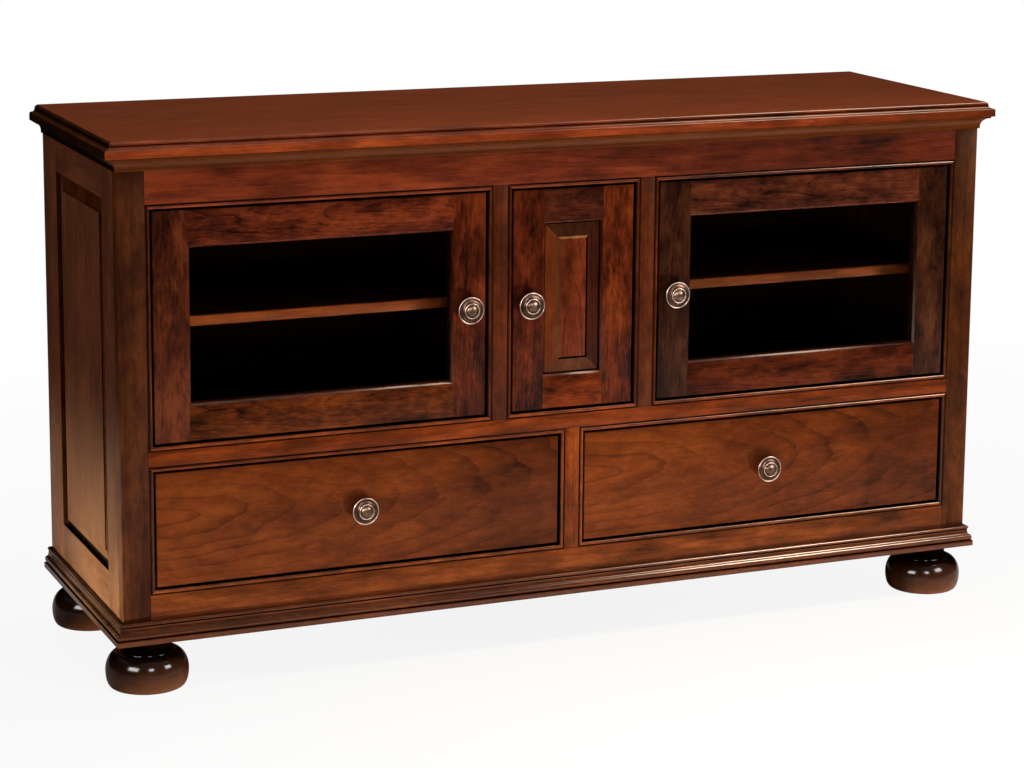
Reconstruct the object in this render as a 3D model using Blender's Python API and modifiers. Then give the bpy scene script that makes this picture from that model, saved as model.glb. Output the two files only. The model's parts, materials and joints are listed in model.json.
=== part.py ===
"""TV console in stained cherry: glass doors either side of a panelled door, over two wide drawers.

Metres, +Z up, +X to the right, the front faces -Y. The origin is on the floor, under the middle of the top.
"""

import math

import bmesh
import bpy
from mathutils import Matrix, Vector

# Top slab
TOP_WIDTH = 1.524
TOP_OVERHANG = 0.021
TOP_BAND = 0.010
TOP_SHOULDER = 0.0035
TOP_HOLLOW_IN = 0.005
TOP_HOLLOW_UP = 0.0045
TOP_QUIRK = 0.0012
TOP_ROUND_IN = 0.0065
TOP_ROUND_UP = 0.0053

# Case
CASE_DEPTH = 0.452
FOOT_HEIGHT = 0.082
BASE_HEIGHT = 0.034
BASE_PROJECTION = 0.014
BASE_BAND = 0.0085
BASE_QUIRK = 0.0015
BASE_MEMBER = 0.0105
BASE_SETBACK = 0.005
BASE_BEAD_RADIUS = 0.003
COVE_HEIGHT = 0.021
COVE_PROJECTION = 0.0165
COVE_LIP = 0.003
BOARD = 0.018
BACK_THICKNESS = 0.008

# Face frame
FRAME_THICKNESS = 0.022
STILE = 0.050
MULLION = 0.039
BOTTOM_RAIL = 0.046
MID_RAIL = 0.038
TOP_RAIL = 0.080
CENTRE_OPENING = 0.216
DRAWER_OPENING = 0.186
DOOR_OPENING = 0.3635
BEAD = 0.0075
BEAD_QUIRK = 0.0022
BEAD_PROUD = 0.0012

# Side frames and raised panels
SIDE_THICKNESS = 0.020
SIDE_FRONT_STILE = 0.062
SIDE_BACK_STILE = 0.084
SIDE_TOP_RAIL = 0.052
SIDE_BOTTOM_RAIL = 0.060
SIDE_LIP = 0.007
TONGUE = 0.007
TONGUE_THICKNESS = 0.005
PANEL_BEVEL = 0.026
PANEL_RISE = 0.0035
FIELD_STEP = 0.0015
FIELD_STEP_IN = 0.0004

# Doors
DOOR_THICKNESS = 0.019
DOOR_RECESS = 0.003
DOOR_GAP = 0.004
GLASS_DOOR_FRAME = 0.0575
PANEL_DOOR_FRAME = 0.0555
STICKING = 0.003
GLASS_LIP = 0.009
PANEL_LIP = 0.006
RABBET = 0.008
GLASS_THICKNESS = 0.003
EDGE_ROUND = 0.0008

# Pivot hinges
PIN_FROM_EDGE = 0.011
PIN_FROM_FACE = 0.005
PIN_RADIUS = 0.002
PIN_LENGTH = 0.008
LEAF_LENGTH = 0.034
LEAF_WIDTH = 0.009
LEAF_THICKNESS = 0.0014

# Drawers
DRAWER_BACK_ROOM = 0.0385
DRAWER_WALL = 0.012
DRAWER_SIDE_GAP = 0.008
DRAWER_BOX_HEIGHT = 0.140
DRAWER_BOX_RISE = 0.014
DRAWER_BOTTOM_RISE = 0.010
DRAWER_BOTTOM_THICKNESS = 0.006
DRAWER_BOTTOM_GROOVE = 0.005
RUNNER_HEIGHT = 0.022

# Shelves
SHELF_RISE = 0.171
SHELF_THICKNESS = 0.016
SHELF_SETBACK = 0.030
SHELF_END_GAP = 0.0015
PEG_RADIUS = 0.003
PEG_LENGTH = 0.009
PEG_FROM_FRONT = 0.040
PEG_FROM_BACK = 0.045

# Wire holes in the back
WIRE_HOLE_RADIUS = 0.0285
WIRE_HOLE_RISE = 0.310

# Turned feet and knobs
FOOT_RADIUS = 0.064
FOOT_SOLE = 0.055
FOOT_WIDEST = 0.025
FOOT_SHOULDER = 0.043
FOOT_RING = 0.002
FOOT_NECK = 0.037
FOOT_NECK_HEIGHT = 0.026
FOOT_INSET = 0.0485
FOOT_INSET_BACK = 0.064
KNOB_RADIUS = 0.0215
KNOB_LENGTH = 0.0215
KNOB_STEM = 0.0065
KNOB_STEM_LENGTH = 0.008
KNOB_LIP = 0.0016
KNOB_GROOVE = 0.0012
KNOB_HOLLOW = 0.0042
KNOB_BUTTON_RISE = 0.0034
KNOB_RING_RADIUS = 0.0125
DOOR_KNOB_DROP = 0.006

# Clearance at a glued or resting joint, and the resolution of turned pieces
SEAT = 0.0003
FOOT_STEPS = 36
KNOB_STEPS = 24
PIN_SIDES = 16
HOLE_SIDES = 24
ARC_STEPS = 5

# Places worked out from the sizes above
HALF_CASE = TOP_WIDTH / 2 - TOP_OVERHANG
FRONT = -(CASE_DEPTH + TOP_OVERHANG) / 2 + TOP_OVERHANG
BACK = FRONT + CASE_DEPTH
FRAME_BACK = FRONT + FRAME_THICKNESS
BACK_FACE = BACK - BACK_THICKNESS
SIDE_INSIDE = HALF_CASE - SIDE_THICKNESS
BASE_TOP = FOOT_HEIGHT + BASE_HEIGHT
DRAWER_LOW = BASE_TOP + BOTTOM_RAIL
DRAWER_HIGH = DRAWER_LOW + DRAWER_OPENING
DOOR_LOW = DRAWER_HIGH + MID_RAIL
DOOR_HIGH = DOOR_LOW + DOOR_OPENING
CASE_TOP = DOOR_HIGH + TOP_RAIL
COVE_LOW = CASE_TOP - COVE_HEIGHT
OPENING_SIDE = HALF_CASE - STILE
CENTRE_SIDE = CENTRE_OPENING / 2
PARTITION = CENTRE_SIDE + MULLION / 2
DECK_TOP = DOOR_LOW
BOTTOM_DECK_TOP = FOOT_HEIGHT + BOARD
DOOR_FACE = FRONT + DOOR_RECESS
DOOR_BACK = DOOR_FACE + DOOR_THICKNESS
SHELF_TOP = DECK_TOP + SHELF_RISE + SHELF_THICKNESS
DRAWER_BOX_LOW = DRAWER_LOW + DRAWER_BOX_RISE

DOOR_SPANS = {
    "left": (-OPENING_SIDE, -CENTRE_SIDE - MULLION),
    "centre": (-CENTRE_SIDE, CENTRE_SIDE),
    "right": (CENTRE_SIDE + MULLION, OPENING_SIDE),
}
DRAWER_SPANS = {
    "left": (-OPENING_SIDE, -MULLION / 2),
    "right": (MULLION / 2, OPENING_SIDE),
}
HINGE_SIDES = {"left": -1, "centre": 1, "right": 1}

X, Y, Z = Vector((1, 0, 0)), Vector((0, 1, 0)), Vector((0, 0, 1))


# Scene, bodies and finishes


def clear_scene():
    for old in list(bpy.data.objects):
        bpy.data.objects.remove(old, do_unlink=True)


def new_collection(name):
    made = bpy.data.collections.new(name)
    bpy.context.scene.collection.children.link(made)
    return made


def finish(name, colour, roughness, metallic=0.0, transmission=0.0):
    material = bpy.data.materials.new(name)
    material.use_nodes = True
    shader = material.node_tree.nodes["Principled BSDF"]
    shader.inputs["Base Color"].default_value = (*colour, 1.0)
    shader.inputs["Roughness"].default_value = roughness
    shader.inputs["Metallic"].default_value = metallic
    shader.inputs["Transmission Weight"].default_value = transmission
    return material


def body(name, at=(0, 0, 0)):
    """An empty that carries the pieces of one rigid body, on the axis that the body turns about."""
    empty = bpy.data.objects.new(name, None)
    empty.location = at
    PARTS.objects.link(empty)
    return empty


clear_scene()
PARTS = new_collection("tv_console")
CUTTERS = new_collection("cutters")
CHERRY = finish("stained_cherry", (0.15, 0.042, 0.016), 0.30)
DARK_CHERRY = finish("dark_cherry", (0.035, 0.013, 0.008), 0.18)
DRAWER_WOOD = finish("drawer_wood", (0.48, 0.30, 0.16), 0.45)
GLASS = finish("clear_glass", (0.95, 0.97, 0.96), 0.03, transmission=0.95)
BRONZE = finish("antique_bronze", (0.25, 0.16, 0.12), 0.30, metallic=1.0)
STEEL = finish("hinge_steel", (0.30, 0.29, 0.28), 0.35, metallic=1.0)

CASE = body("case")
DOORS = {
    side: body(
        side + "_door",
        (
            span[(hand + 1) // 2] - hand * (DOOR_GAP + PIN_FROM_EDGE),
            DOOR_FACE + PIN_FROM_FACE,
            DOOR_LOW,
        ),
    )
    for (side, span), hand in zip(DOOR_SPANS.items(), HINGE_SIDES.values())
}
DRAWERS = {
    side: body(side + "_drawer", (sum(span) / 2, DOOR_FACE, DRAWER_LOW))
    for side, span in DRAWER_SPANS.items()
}


# Modelling tools


def add(name, mesh, carrier, at, material):
    """One named piece, its mesh built round its own origin, placed at a world point on its body."""
    piece = bpy.data.objects.new(name, mesh)
    mesh.materials.append(material)
    piece.parent = carrier
    piece.location = Vector(at) - carrier.location
    PARTS.objects.link(piece)
    return piece


def to_mesh(name, bm):
    mesh = bpy.data.meshes.new(name)
    bm.to_mesh(mesh)
    bm.free()
    return mesh


def box_bmesh(low, high):
    """A squared block with its own middle at the origin, and the world place of that middle."""
    low, high = Vector(low), Vector(high)
    bm = bmesh.new()
    bmesh.ops.create_cube(bm, size=1.0)
    bmesh.ops.scale(bm, vec=high - low, verts=bm.verts)
    return bm, (low + high) / 2


def round_edges(piece, width):
    bevel = piece.modifiers.new("rounded_edges", "BEVEL")
    bevel.width = width
    bevel.segments = 1
    bevel.limit_method = "ANGLE"
    return piece


def board(name, carrier, low, high, material):
    bm, middle = box_bmesh(low, high)
    return add(name, to_mesh(name, bm), carrier, middle, material)


def tool(name, bm, at):
    """A hidden shape that cuts or joins a piece."""
    shape = bpy.data.objects.new(name, to_mesh(name, bm))
    shape.location = at
    shape.hide_render = True
    shape.display_type = "WIRE"
    CUTTERS.objects.link(shape)
    return shape


def combine(piece, shape, operation):
    step = piece.modifiers.new(shape.name, "BOOLEAN")
    step.operation = operation
    step.object = shape
    step.solver = "EXACT"


def cut_box(piece, low, high):
    bm, middle = box_bmesh(low, high)
    combine(piece, tool(piece.name + "_cut", bm, middle), "DIFFERENCE")


def rod_bmesh(radius, length, axis, sides):
    bm = bmesh.new()
    bmesh.ops.create_cone(
        bm, cap_ends=True, segments=sides, radius1=radius, radius2=radius, depth=length
    )
    bmesh.ops.rotate(bm, matrix=Z.rotation_difference(axis).to_matrix(), verts=bm.verts)
    return bm


def cut_hole(piece, at, radius, length, axis, sides):
    combine(piece, tool(piece.name + "_hole", rod_bmesh(radius, length, axis, sides), at), "DIFFERENCE")


def join_rod(piece, at, radius, length, axis, sides):
    combine(piece, tool(piece.name + "_rod", rod_bmesh(radius, length, axis, sides), at), "UNION")


def arc(centre, radii, start, end, steps=ARC_STEPS):
    """Points on an ellipse's arc, from one angle to another, in degrees."""
    angles = [math.radians(start + (end - start) * i / steps) for i in range(steps + 1)]
    return [(centre[0] + radii[0] * math.cos(a), centre[1] + radii[1] * math.sin(a)) for a in angles]


def sweep(outline, length, across, up):
    """A straight moulding: the outline's two axes lie along across and up, and its run is square to both."""
    curve = bpy.data.curves.new("outline", "CURVE")
    curve.dimensions = "2D"
    curve.fill_mode = "BOTH"
    curve.extrude = length / 2
    spline = curve.splines.new("POLY")
    spline.points.add(len(outline) - 1)
    for point, (u, v) in zip(spline.points, outline):
        point.co = (u, v, 0, 1)
    spline.use_cyclic_u = True
    draft = bpy.data.objects.new("outline", curve)
    CUTTERS.objects.link(draft)
    drawn = draft.evaluated_get(bpy.context.evaluated_depsgraph_get())
    mesh = bpy.data.meshes.new_from_object(drawn)
    bpy.data.objects.remove(draft, do_unlink=True)
    bm = bmesh.new()
    bm.from_mesh(mesh)
    bmesh.ops.remove_doubles(bm, verts=bm.verts, dist=1e-6)
    turn = Matrix((across, up, across.cross(up))).transposed()
    bmesh.ops.transform(bm, matrix=turn.to_4x4(), verts=bm.verts)
    bmesh.ops.recalc_face_normals(bm, faces=bm.faces)
    return bm


def trim(bm, point, normal):
    """Saws a shape at a plane, takes away the side that the normal points to, and closes the cut."""
    everything = [*bm.verts, *bm.edges, *bm.faces]
    bmesh.ops.bisect_plane(bm, geom=everything, plane_co=point, plane_no=normal, clear_outer=True)
    bmesh.ops.holes_fill(bm, edges=[e for e in bm.edges if e.is_boundary], sides=0)
    bmesh.ops.recalc_face_normals(bm, faces=bm.faces)


def raise_face(bm, facing, steps):
    """Insets the face that looks along facing again and again, raising it a little at each step."""
    face = max(bm.faces, key=lambda f: f.normal.dot(facing) * f.calc_area())
    for inset, rise in steps:
        bmesh.ops.inset_region(bm, faces=[face], thickness=inset, depth=rise, use_even_offset=True)


def turned(name, profile, steps, carrier, at, material, tilt=0.0):
    """A turned piece: its profile runs down the outer side, from the top of the axis to the bottom."""
    bm = bmesh.new()
    points = [bm.verts.new((radius, 0, height)) for radius, height in profile]
    for upper, lower in zip(points, points[1:]):
        bm.edges.new((upper, lower))
    piece = add(name, to_mesh(name, bm), carrier, at, material)
    piece.rotation_euler.x = tilt
    spin = piece.modifiers.new("turned", "SCREW")
    spin.axis = "Z"
    spin.steps = steps
    spin.render_steps = steps
    spin.use_merge_vertices = True
    spin.merge_threshold = 1e-5
    return piece


# Top and mouldings


def rounded_steps(inset, rise):
    """Insets and rises that go up a convex quarter, from upright to level."""
    quarter = arc((0, 0), (inset, rise), 0, 90)
    return [(a[0] - b[0], b[1] - a[1]) for a, b in zip(quarter, quarter[1:])]


def hollow_steps(inset, rise):
    """Insets and rises that go up a hollow quarter, from level to upright."""
    quarter = arc((0, rise), (inset, rise), -90, 0)
    return [(b[0] - a[0], b[1] - a[1]) for a, b in zip(quarter, quarter[1:])]


def make_top():
    """The slab: a square band with a rounded shoulder, a hollow, a quirk and a rounding up to the flat."""
    steps = rounded_steps(TOP_SHOULDER, TOP_SHOULDER)
    steps += hollow_steps(TOP_HOLLOW_IN, TOP_HOLLOW_UP)
    steps += [(SEAT, TOP_QUIRK)]
    steps += rounded_steps(TOP_ROUND_IN, TOP_ROUND_UP)
    moulded = sum(inset for inset, _ in steps)
    half_width = TOP_WIDTH / 2
    bm, middle = box_bmesh(
        (-half_width, FRONT - TOP_OVERHANG, CASE_TOP),
        (half_width, BACK + 2 * moulded, CASE_TOP + TOP_BAND),
    )
    raise_face(bm, Z, steps)
    trim(bm, Vector((0, BACK, CASE_TOP)) - middle, Y)
    add("top", to_mesh("top", bm), CASE, middle, CHERRY)


def cove_outline():
    hollow = arc(
        (COVE_PROJECTION, COVE_LIP),
        (COVE_PROJECTION - COVE_LIP, COVE_HEIGHT - 2 * COVE_LIP),
        180,
        90,
    )
    return [(SEAT, 0), (COVE_LIP, 0), *hollow, (COVE_PROJECTION, COVE_HEIGHT), (SEAT, COVE_HEIGHT)]


def base_outline():
    """Bottom band, half-round member, hollow and a small bead on top, going up."""
    out = BASE_PROJECTION
    lip = out - BASE_SETBACK
    bead = BASE_BEAD_RADIUS
    waist = 2 * bead
    hollow_low = BASE_BAND + BASE_MEMBER
    hollow_high = BASE_HEIGHT - 2 * bead
    points = [(SEAT, 0), (out, 0), (out, BASE_BAND)]
    member = (BASE_SETBACK - BASE_QUIRK, BASE_MEMBER / 2)
    points += arc((lip, BASE_BAND + BASE_MEMBER / 2), member, -90, 90, 2 * ARC_STEPS)
    points += arc((lip, hollow_high), (lip - waist, hollow_high - hollow_low), 270, 180)[1:]
    points += arc((waist - bead / 2, BASE_HEIGHT - bead), (bead, bead), -90, 90)
    return points + [(SEAT, BASE_HEIGHT)]


def mitred_mouldings(name, outline, low):
    """Front, left and right lengths round the case, sawn at 45 degrees where they meet."""
    reach = max(out for out, _ in outline)
    front = sweep(outline, 2 * (HALF_CASE + reach), -Y, Z)
    at = Vector((0, FRONT, low))
    for hand in (-1, 1):
        corner = Vector((hand * (HALF_CASE - SEAT), FRONT, low))
        trim(front, corner - at, Vector((hand, 1, 0)).normalized())
    add(name + "_front", to_mesh(name + "_front", front), CASE, at, CHERRY)
    for side, hand in (("left", -1), ("right", 1)):
        run = sweep(outline, 2 * (CASE_DEPTH + reach), hand * X, Z)
        at = Vector((hand * HALF_CASE, FRONT, low))
        trim(run, SEAT * Y, Vector((-hand, -1, 0)).normalized())
        trim(run, CASE_DEPTH * Y, Y)
        add(f"{name}_{side}", to_mesh(f"{name}_{side}", run), CASE, at, CHERRY)


# Face frame with mitred beads


def bead_outline():
    """A half-round bead with a quirk beside it, and a tongue that lies inside the board it grows from."""
    radius = (BEAD - BEAD_QUIRK) / 2
    quirk = BEAD_PROUD - radius
    nose = arc((BEAD - radius, quirk), (radius, radius), 0, 180, 6)
    return [(-2 * SEAT, -FRAME_THICKNESS), (BEAD, -FRAME_THICKNESS), *nose, (-2 * SEAT, quirk)]


def join_bead(piece, edge_middle, into, opening):
    """Grows a bead from a board's edge into an opening, with both ends mitred to meet the next beads."""
    run = into.cross(-Y)
    bm = sweep(bead_outline(), opening + 4 * BEAD, into, -Y)
    for hand in (-1, 1):
        inner_end = BEAD * into + hand * (opening / 2 - SEAT) * run
        trim(bm, inner_end, (into + hand * run).normalized())
        trim(bm, hand * (opening / 2 + BEAD - 2 * SEAT) * run, hand * run)
    combine(piece, tool(piece.name + "_bead", bm, edge_middle), "UNION")


def frame_board(name, x_span, z_span):
    return board(name, CASE, (x_span[0], FRONT, z_span[0]), (x_span[1], FRAME_BACK, z_span[1]), CHERRY)


def upright_beads(piece, x, into, z_low, z_high):
    join_bead(piece, Vector((x, FRONT, (z_low + z_high) / 2)), into, z_high - z_low)


def level_beads(piece, z, into, spans):
    for low, high in spans:
        join_bead(piece, Vector(((low + high) / 2, FRONT, z)), into, high - low)


def make_face_frame():
    stile_inside = OPENING_SIDE + BEAD
    for side, hand in (("left", -1), ("right", 1)):
        span = sorted((hand * HALF_CASE, hand * stile_inside))
        stile = frame_board("stile_" + side, span, (FOOT_HEIGHT, CASE_TOP - SEAT))
        upright_beads(stile, hand * stile_inside, -hand * X, DOOR_LOW, DOOR_HIGH)
        upright_beads(stile, hand * stile_inside, -hand * X, DRAWER_LOW, DRAWER_HIGH)

    rail_span = (SEAT - stile_inside, stile_inside - SEAT)
    top_rail = frame_board("top_rail", rail_span, (DOOR_HIGH + BEAD, CASE_TOP - SEAT))
    level_beads(top_rail, DOOR_HIGH + BEAD, -Z, DOOR_SPANS.values())
    mid_rail = frame_board("mid_rail", rail_span, (DRAWER_HIGH + BEAD, DOOR_LOW - BEAD))
    level_beads(mid_rail, DOOR_LOW - BEAD, Z, DOOR_SPANS.values())
    level_beads(mid_rail, DRAWER_HIGH + BEAD, -Z, DRAWER_SPANS.values())
    bottom_rail = frame_board("bottom_rail", rail_span, (FOOT_HEIGHT, DRAWER_LOW - BEAD))
    level_beads(bottom_rail, DRAWER_LOW - BEAD, Z, DRAWER_SPANS.values())

    half_core = MULLION / 2 - BEAD
    uprights = {
        "mullion_left": (-PARTITION, DOOR_LOW, DOOR_HIGH),
        "mullion_right": (PARTITION, DOOR_LOW, DOOR_HIGH),
        "drawer_mullion": (0.0, DRAWER_LOW, DRAWER_HIGH),
    }
    for name, (middle, low, high) in uprights.items():
        span = (middle - half_core, middle + half_core)
        upright = frame_board(name, span, (low - BEAD + SEAT, high + BEAD - SEAT))
        upright_beads(upright, span[0], -X, low, high)
        upright_beads(upright, span[1], X, low, high)


# Sides, decks, partitions and back


def raised_panel(name, carrier, low, high, facing, material):
    """A panel whose tongue lies in its frame's groove, with a sloping bevel up to a raised field."""
    bm, middle = box_bmesh(low, high)
    steps = [(TONGUE + SEAT, 0.0), (PANEL_BEVEL, PANEL_RISE), (FIELD_STEP_IN, FIELD_STEP)]
    raise_face(bm, facing, steps)
    return add(name, to_mesh(name, bm), carrier, middle, material)


def peg_places():
    front = FRAME_BACK + PEG_FROM_FRONT
    back = BACK_FACE - PEG_FROM_BACK
    return (front, back)


def join_pegs(piece, x, into):
    """Two shelf pegs on a board's face, half of each let into the board."""
    for y in peg_places():
        peg = Vector((x, y, SHELF_TOP - SHELF_THICKNESS - SEAT - PEG_RADIUS))
        join_rod(piece, peg, PEG_RADIUS, 2 * PEG_LENGTH, into * X, PIN_SIDES)


def make_sides():
    sight_y = (FRAME_BACK + SIDE_FRONT_STILE, BACK - SIDE_BACK_STILE)
    sight_z = (BASE_TOP + SIDE_BOTTOM_RAIL, COVE_LOW - SIDE_TOP_RAIL)
    for side, hand in (("left", -1), ("right", 1)):
        outside, inside = hand * HALF_CASE, hand * SIDE_INSIDE
        groove_out = outside - hand * SIDE_LIP
        groove_in = groove_out - hand * (TONGUE_THICKNESS + 2 * SEAT)
        x_low, x_high = sorted((outside, inside))
        frame = board(
            f"side_frame_{side}",
            CASE,
            (x_low, FRAME_BACK + SEAT, FOOT_HEIGHT),
            (x_high, BACK, CASE_TOP - SEAT),
            CHERRY,
        )
        through = SIDE_THICKNESS
        cut_box(frame, (x_low - through, sight_y[0], sight_z[0]), (x_high + through, sight_y[1], sight_z[1]))
        groove_low, groove_high = sorted((groove_out, groove_in))
        cut_box(
            frame,
            (groove_low, sight_y[0] - TONGUE - SEAT, sight_z[0] - TONGUE - SEAT),
            (groove_high, sight_y[1] + TONGUE + SEAT, sight_z[1] + TONGUE + SEAT),
        )
        join_pegs(frame, inside, -hand)
        raised_panel(
            f"side_panel_{side}",
            CASE,
            (groove_low + SEAT, sight_y[0] - TONGUE, sight_z[0] - TONGUE),
            (groove_high - SEAT, sight_y[1] + TONGUE, sight_z[1] + TONGUE),
            hand * X,
            CHERRY,
        )


def make_inside():
    deck_low = (SEAT - SIDE_INSIDE, FRAME_BACK + SEAT)
    deck_high = (SIDE_INSIDE - SEAT, BACK_FACE - SEAT)
    board("bottom_deck", CASE, (*deck_low, FOOT_HEIGHT), (*deck_high, BOTTOM_DECK_TOP), CHERRY)
    board("mid_deck", CASE, (*deck_low, DECK_TOP - BOARD), (*deck_high, DECK_TOP), CHERRY)
    board(
        "drawer_divider",
        CASE,
        (-BOARD / 2, FRAME_BACK + SEAT, BOTTOM_DECK_TOP + SEAT),
        (BOARD / 2, BACK_FACE - SEAT, DECK_TOP - BOARD - SEAT),
        CHERRY,
    )
    for side, hand in (("left", -1), ("right", 1)):
        middle = hand * PARTITION
        partition = board(
            "partition_" + side,
            CASE,
            (middle - BOARD / 2, FRAME_BACK + SEAT, DECK_TOP + SEAT),
            (middle + BOARD / 2, BACK_FACE - SEAT, CASE_TOP - SEAT),
            CHERRY,
        )
        join_pegs(partition, middle + hand * BOARD / 2, hand)
        inner_end = PARTITION + BOARD / 2 + SHELF_END_GAP
        x_low, x_high = sorted((hand * inner_end, hand * (SIDE_INSIDE - SHELF_END_GAP)))
        shelf = board(
            "shelf_" + side,
            CASE,
            (x_low, FRAME_BACK + SHELF_SETBACK, SHELF_TOP - SHELF_THICKNESS),
            (x_high, BACK_FACE - SEAT, SHELF_TOP),
            CHERRY,
        )
        round_edges(shelf, EDGE_ROUND)
    back = board(
        "back_panel",
        CASE,
        (SEAT - SIDE_INSIDE, BACK_FACE, FOOT_HEIGHT),
        (SIDE_INSIDE - SEAT, BACK, CASE_TOP - SEAT),
        CHERRY,
    )
    for span in (DOOR_SPANS["left"], DOOR_SPANS["right"]):
        hole = Vector((sum(span) / 2, (BACK_FACE + BACK) / 2, DECK_TOP + WIRE_HOLE_RISE))
        cut_hole(back, hole, WIRE_HOLE_RADIUS, 3 * BACK_THICKNESS, Y, HOLE_SIDES)


def make_feet():
    """Bun feet: a neck under the case, a low ring, a fat bun that is widest low down, and a flat sole."""
    top = FOOT_HEIGHT - SEAT
    bun_top = FOOT_HEIGHT - FOOT_NECK_HEIGHT
    ring_top = bun_top + FOOT_RING
    profile = [(0, top), (FOOT_NECK, top), (FOOT_NECK, ring_top), (FOOT_SHOULDER, ring_top)]
    swell = (FOOT_RADIUS - FOOT_SHOULDER, bun_top - FOOT_WIDEST)
    profile += arc((FOOT_SHOULDER, FOOT_WIDEST), swell, 90, 0, 8)
    profile += arc((FOOT_SOLE, FOOT_WIDEST), (FOOT_RADIUS - FOOT_SOLE, FOOT_WIDEST), 0, -90)[1:]
    profile += [(0, 0)]
    across = HALF_CASE - FOOT_INSET
    for row, y in (("front", FRONT + FOOT_INSET), ("back", BACK - FOOT_INSET_BACK)):
        for side, hand in (("left", -1), ("right", 1)):
            turned(f"foot_{row}_{side}", profile, FOOT_STEPS, CASE, (hand * across, y, 0), DARK_CHERRY)


# Doors, hinges and knobs


def make_knob(name, carrier, x, z):
    """A round knob: stem, flared back, thin rim, a hollow rising to an inner ring, and a domed button."""
    lip = KNOB_LIP / 2
    ring_top = KNOB_LENGTH - KNOB_BUTTON_RISE
    rim_top = ring_top - KNOB_HOLLOW
    floor = ring_top - KNOB_GROOVE
    rim_inside = KNOB_RADIUS - KNOB_LIP
    ring_inside = KNOB_RING_RADIUS - KNOB_LIP
    profile = arc((0, floor), (ring_inside - KNOB_GROOVE, KNOB_BUTTON_RISE + KNOB_GROOVE), 90, 0, 4)
    profile += [(ring_inside, floor)]
    profile += arc((ring_inside + lip, ring_top - lip), (lip, lip), 180, 0, 3)
    profile += arc((rim_inside, ring_top - lip), (rim_inside - KNOB_RING_RADIUS, KNOB_HOLLOW), 180, 270, 3)[1:]
    profile += arc((rim_inside + lip, rim_top - lip), (lip, lip), 180, 0, 3)[1:]
    profile += [(KNOB_RADIUS, rim_top - KNOB_LIP)]
    flare = (KNOB_RADIUS - lip - KNOB_STEM, rim_top - KNOB_LIP - KNOB_STEM_LENGTH / 2)
    profile += arc((KNOB_RADIUS - lip, KNOB_STEM_LENGTH / 2), flare, 90, 180, 4)
    profile += [(KNOB_STEM, 0), (0, 0)]
    place = (x, DOOR_FACE - SEAT, z)
    turned(name, profile, KNOB_STEPS, carrier, place, BRONZE, tilt=math.pi / 2)


def make_hinges(side, span):
    """Pivot leaves above and below a door, let into its gap, each with a pin that the door turns on."""
    hand = HINGE_SIDES[side]
    pin = DOORS[side].location
    edge = span[(hand + 1) // 2] - hand * DOOR_GAP
    x_low, x_high = sorted((edge, edge - hand * LEAF_LENGTH))
    levels = (("lower", DOOR_LOW + SEAT, 1), ("upper", DOOR_HIGH - SEAT, -1))
    for level, seat_z, way in levels:
        z_low, z_high = sorted((seat_z, seat_z + way * LEAF_THICKNESS))
        leaf = board(
            f"{side}_hinge_{level}",
            CASE,
            (x_low, pin.y - LEAF_WIDTH / 2 + SEAT, z_low),
            (x_high, pin.y + LEAF_WIDTH / 2 + SEAT, z_high),
            STEEL,
        )
        length = PIN_LENGTH + LEAF_THICKNESS
        middle = seat_z + way * (SEAT + length) / 2
        join_rod(leaf, (pin.x, pin.y, middle), PIN_RADIUS, length - SEAT, Z, PIN_SIDES)


def flared_cut(frame, sight):
    """Chamfers the front edge of a frame's sight opening, for the sticking."""
    (x_low, x_high), (z_low, z_high) = sight
    reach = STICKING / 3
    bm, middle = box_bmesh(
        (x_low - reach, DOOR_FACE - reach, z_low - reach),
        (x_high + reach, DOOR_FACE + STICKING, z_high + reach),
    )
    flare = STICKING + reach
    for vert in bm.verts:
        if vert.co.y < 0:
            vert.co.x += math.copysign(flare, vert.co.x)
            vert.co.z += math.copysign(flare, vert.co.z)
    combine(frame, tool(frame.name + "_sticking", bm, middle), "DIFFERENCE")


def make_door(side, frame_width):
    """A door frame with its sight opening and the holes for its pins. Returns it with its sight spans."""
    span = DOOR_SPANS[side]
    x_low, x_high = span[0] + DOOR_GAP, span[1] - DOOR_GAP
    z_low, z_high = DOOR_LOW + DOOR_GAP, DOOR_HIGH - DOOR_GAP
    carrier = DOORS[side]
    frame = board(
        side + "_door_frame",
        carrier,
        (x_low, DOOR_FACE, z_low),
        (x_high, DOOR_BACK, z_high),
        CHERRY,
    )
    round_edges(frame, EDGE_ROUND)
    sight = (x_low + frame_width, x_high - frame_width), (z_low + frame_width, z_high - frame_width)
    through = DOOR_THICKNESS
    cut_box(
        frame,
        (sight[0][0], DOOR_FACE - through, sight[1][0]),
        (sight[0][1], DOOR_BACK + through, sight[1][1]),
    )
    flared_cut(frame, sight)
    for z in (z_low, z_high):
        place = (carrier.location.x, carrier.location.y, z)
        cut_hole(frame, place, PIN_RADIUS + SEAT + SEAT / 2, 2 * (PIN_LENGTH + 2 * SEAT), Z, PIN_SIDES)
    make_hinges(side, span)
    hand = HINGE_SIDES[side]
    knob_edge = x_low if hand > 0 else x_high
    knob_z = (z_low + z_high) / 2 - DOOR_KNOB_DROP
    make_knob(side + "_door_knob", carrier, knob_edge + hand * frame_width / 2, knob_z)
    return frame, sight


def widen(sight, margin):
    return [(low - margin, high + margin) for low, high in sight]


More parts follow.
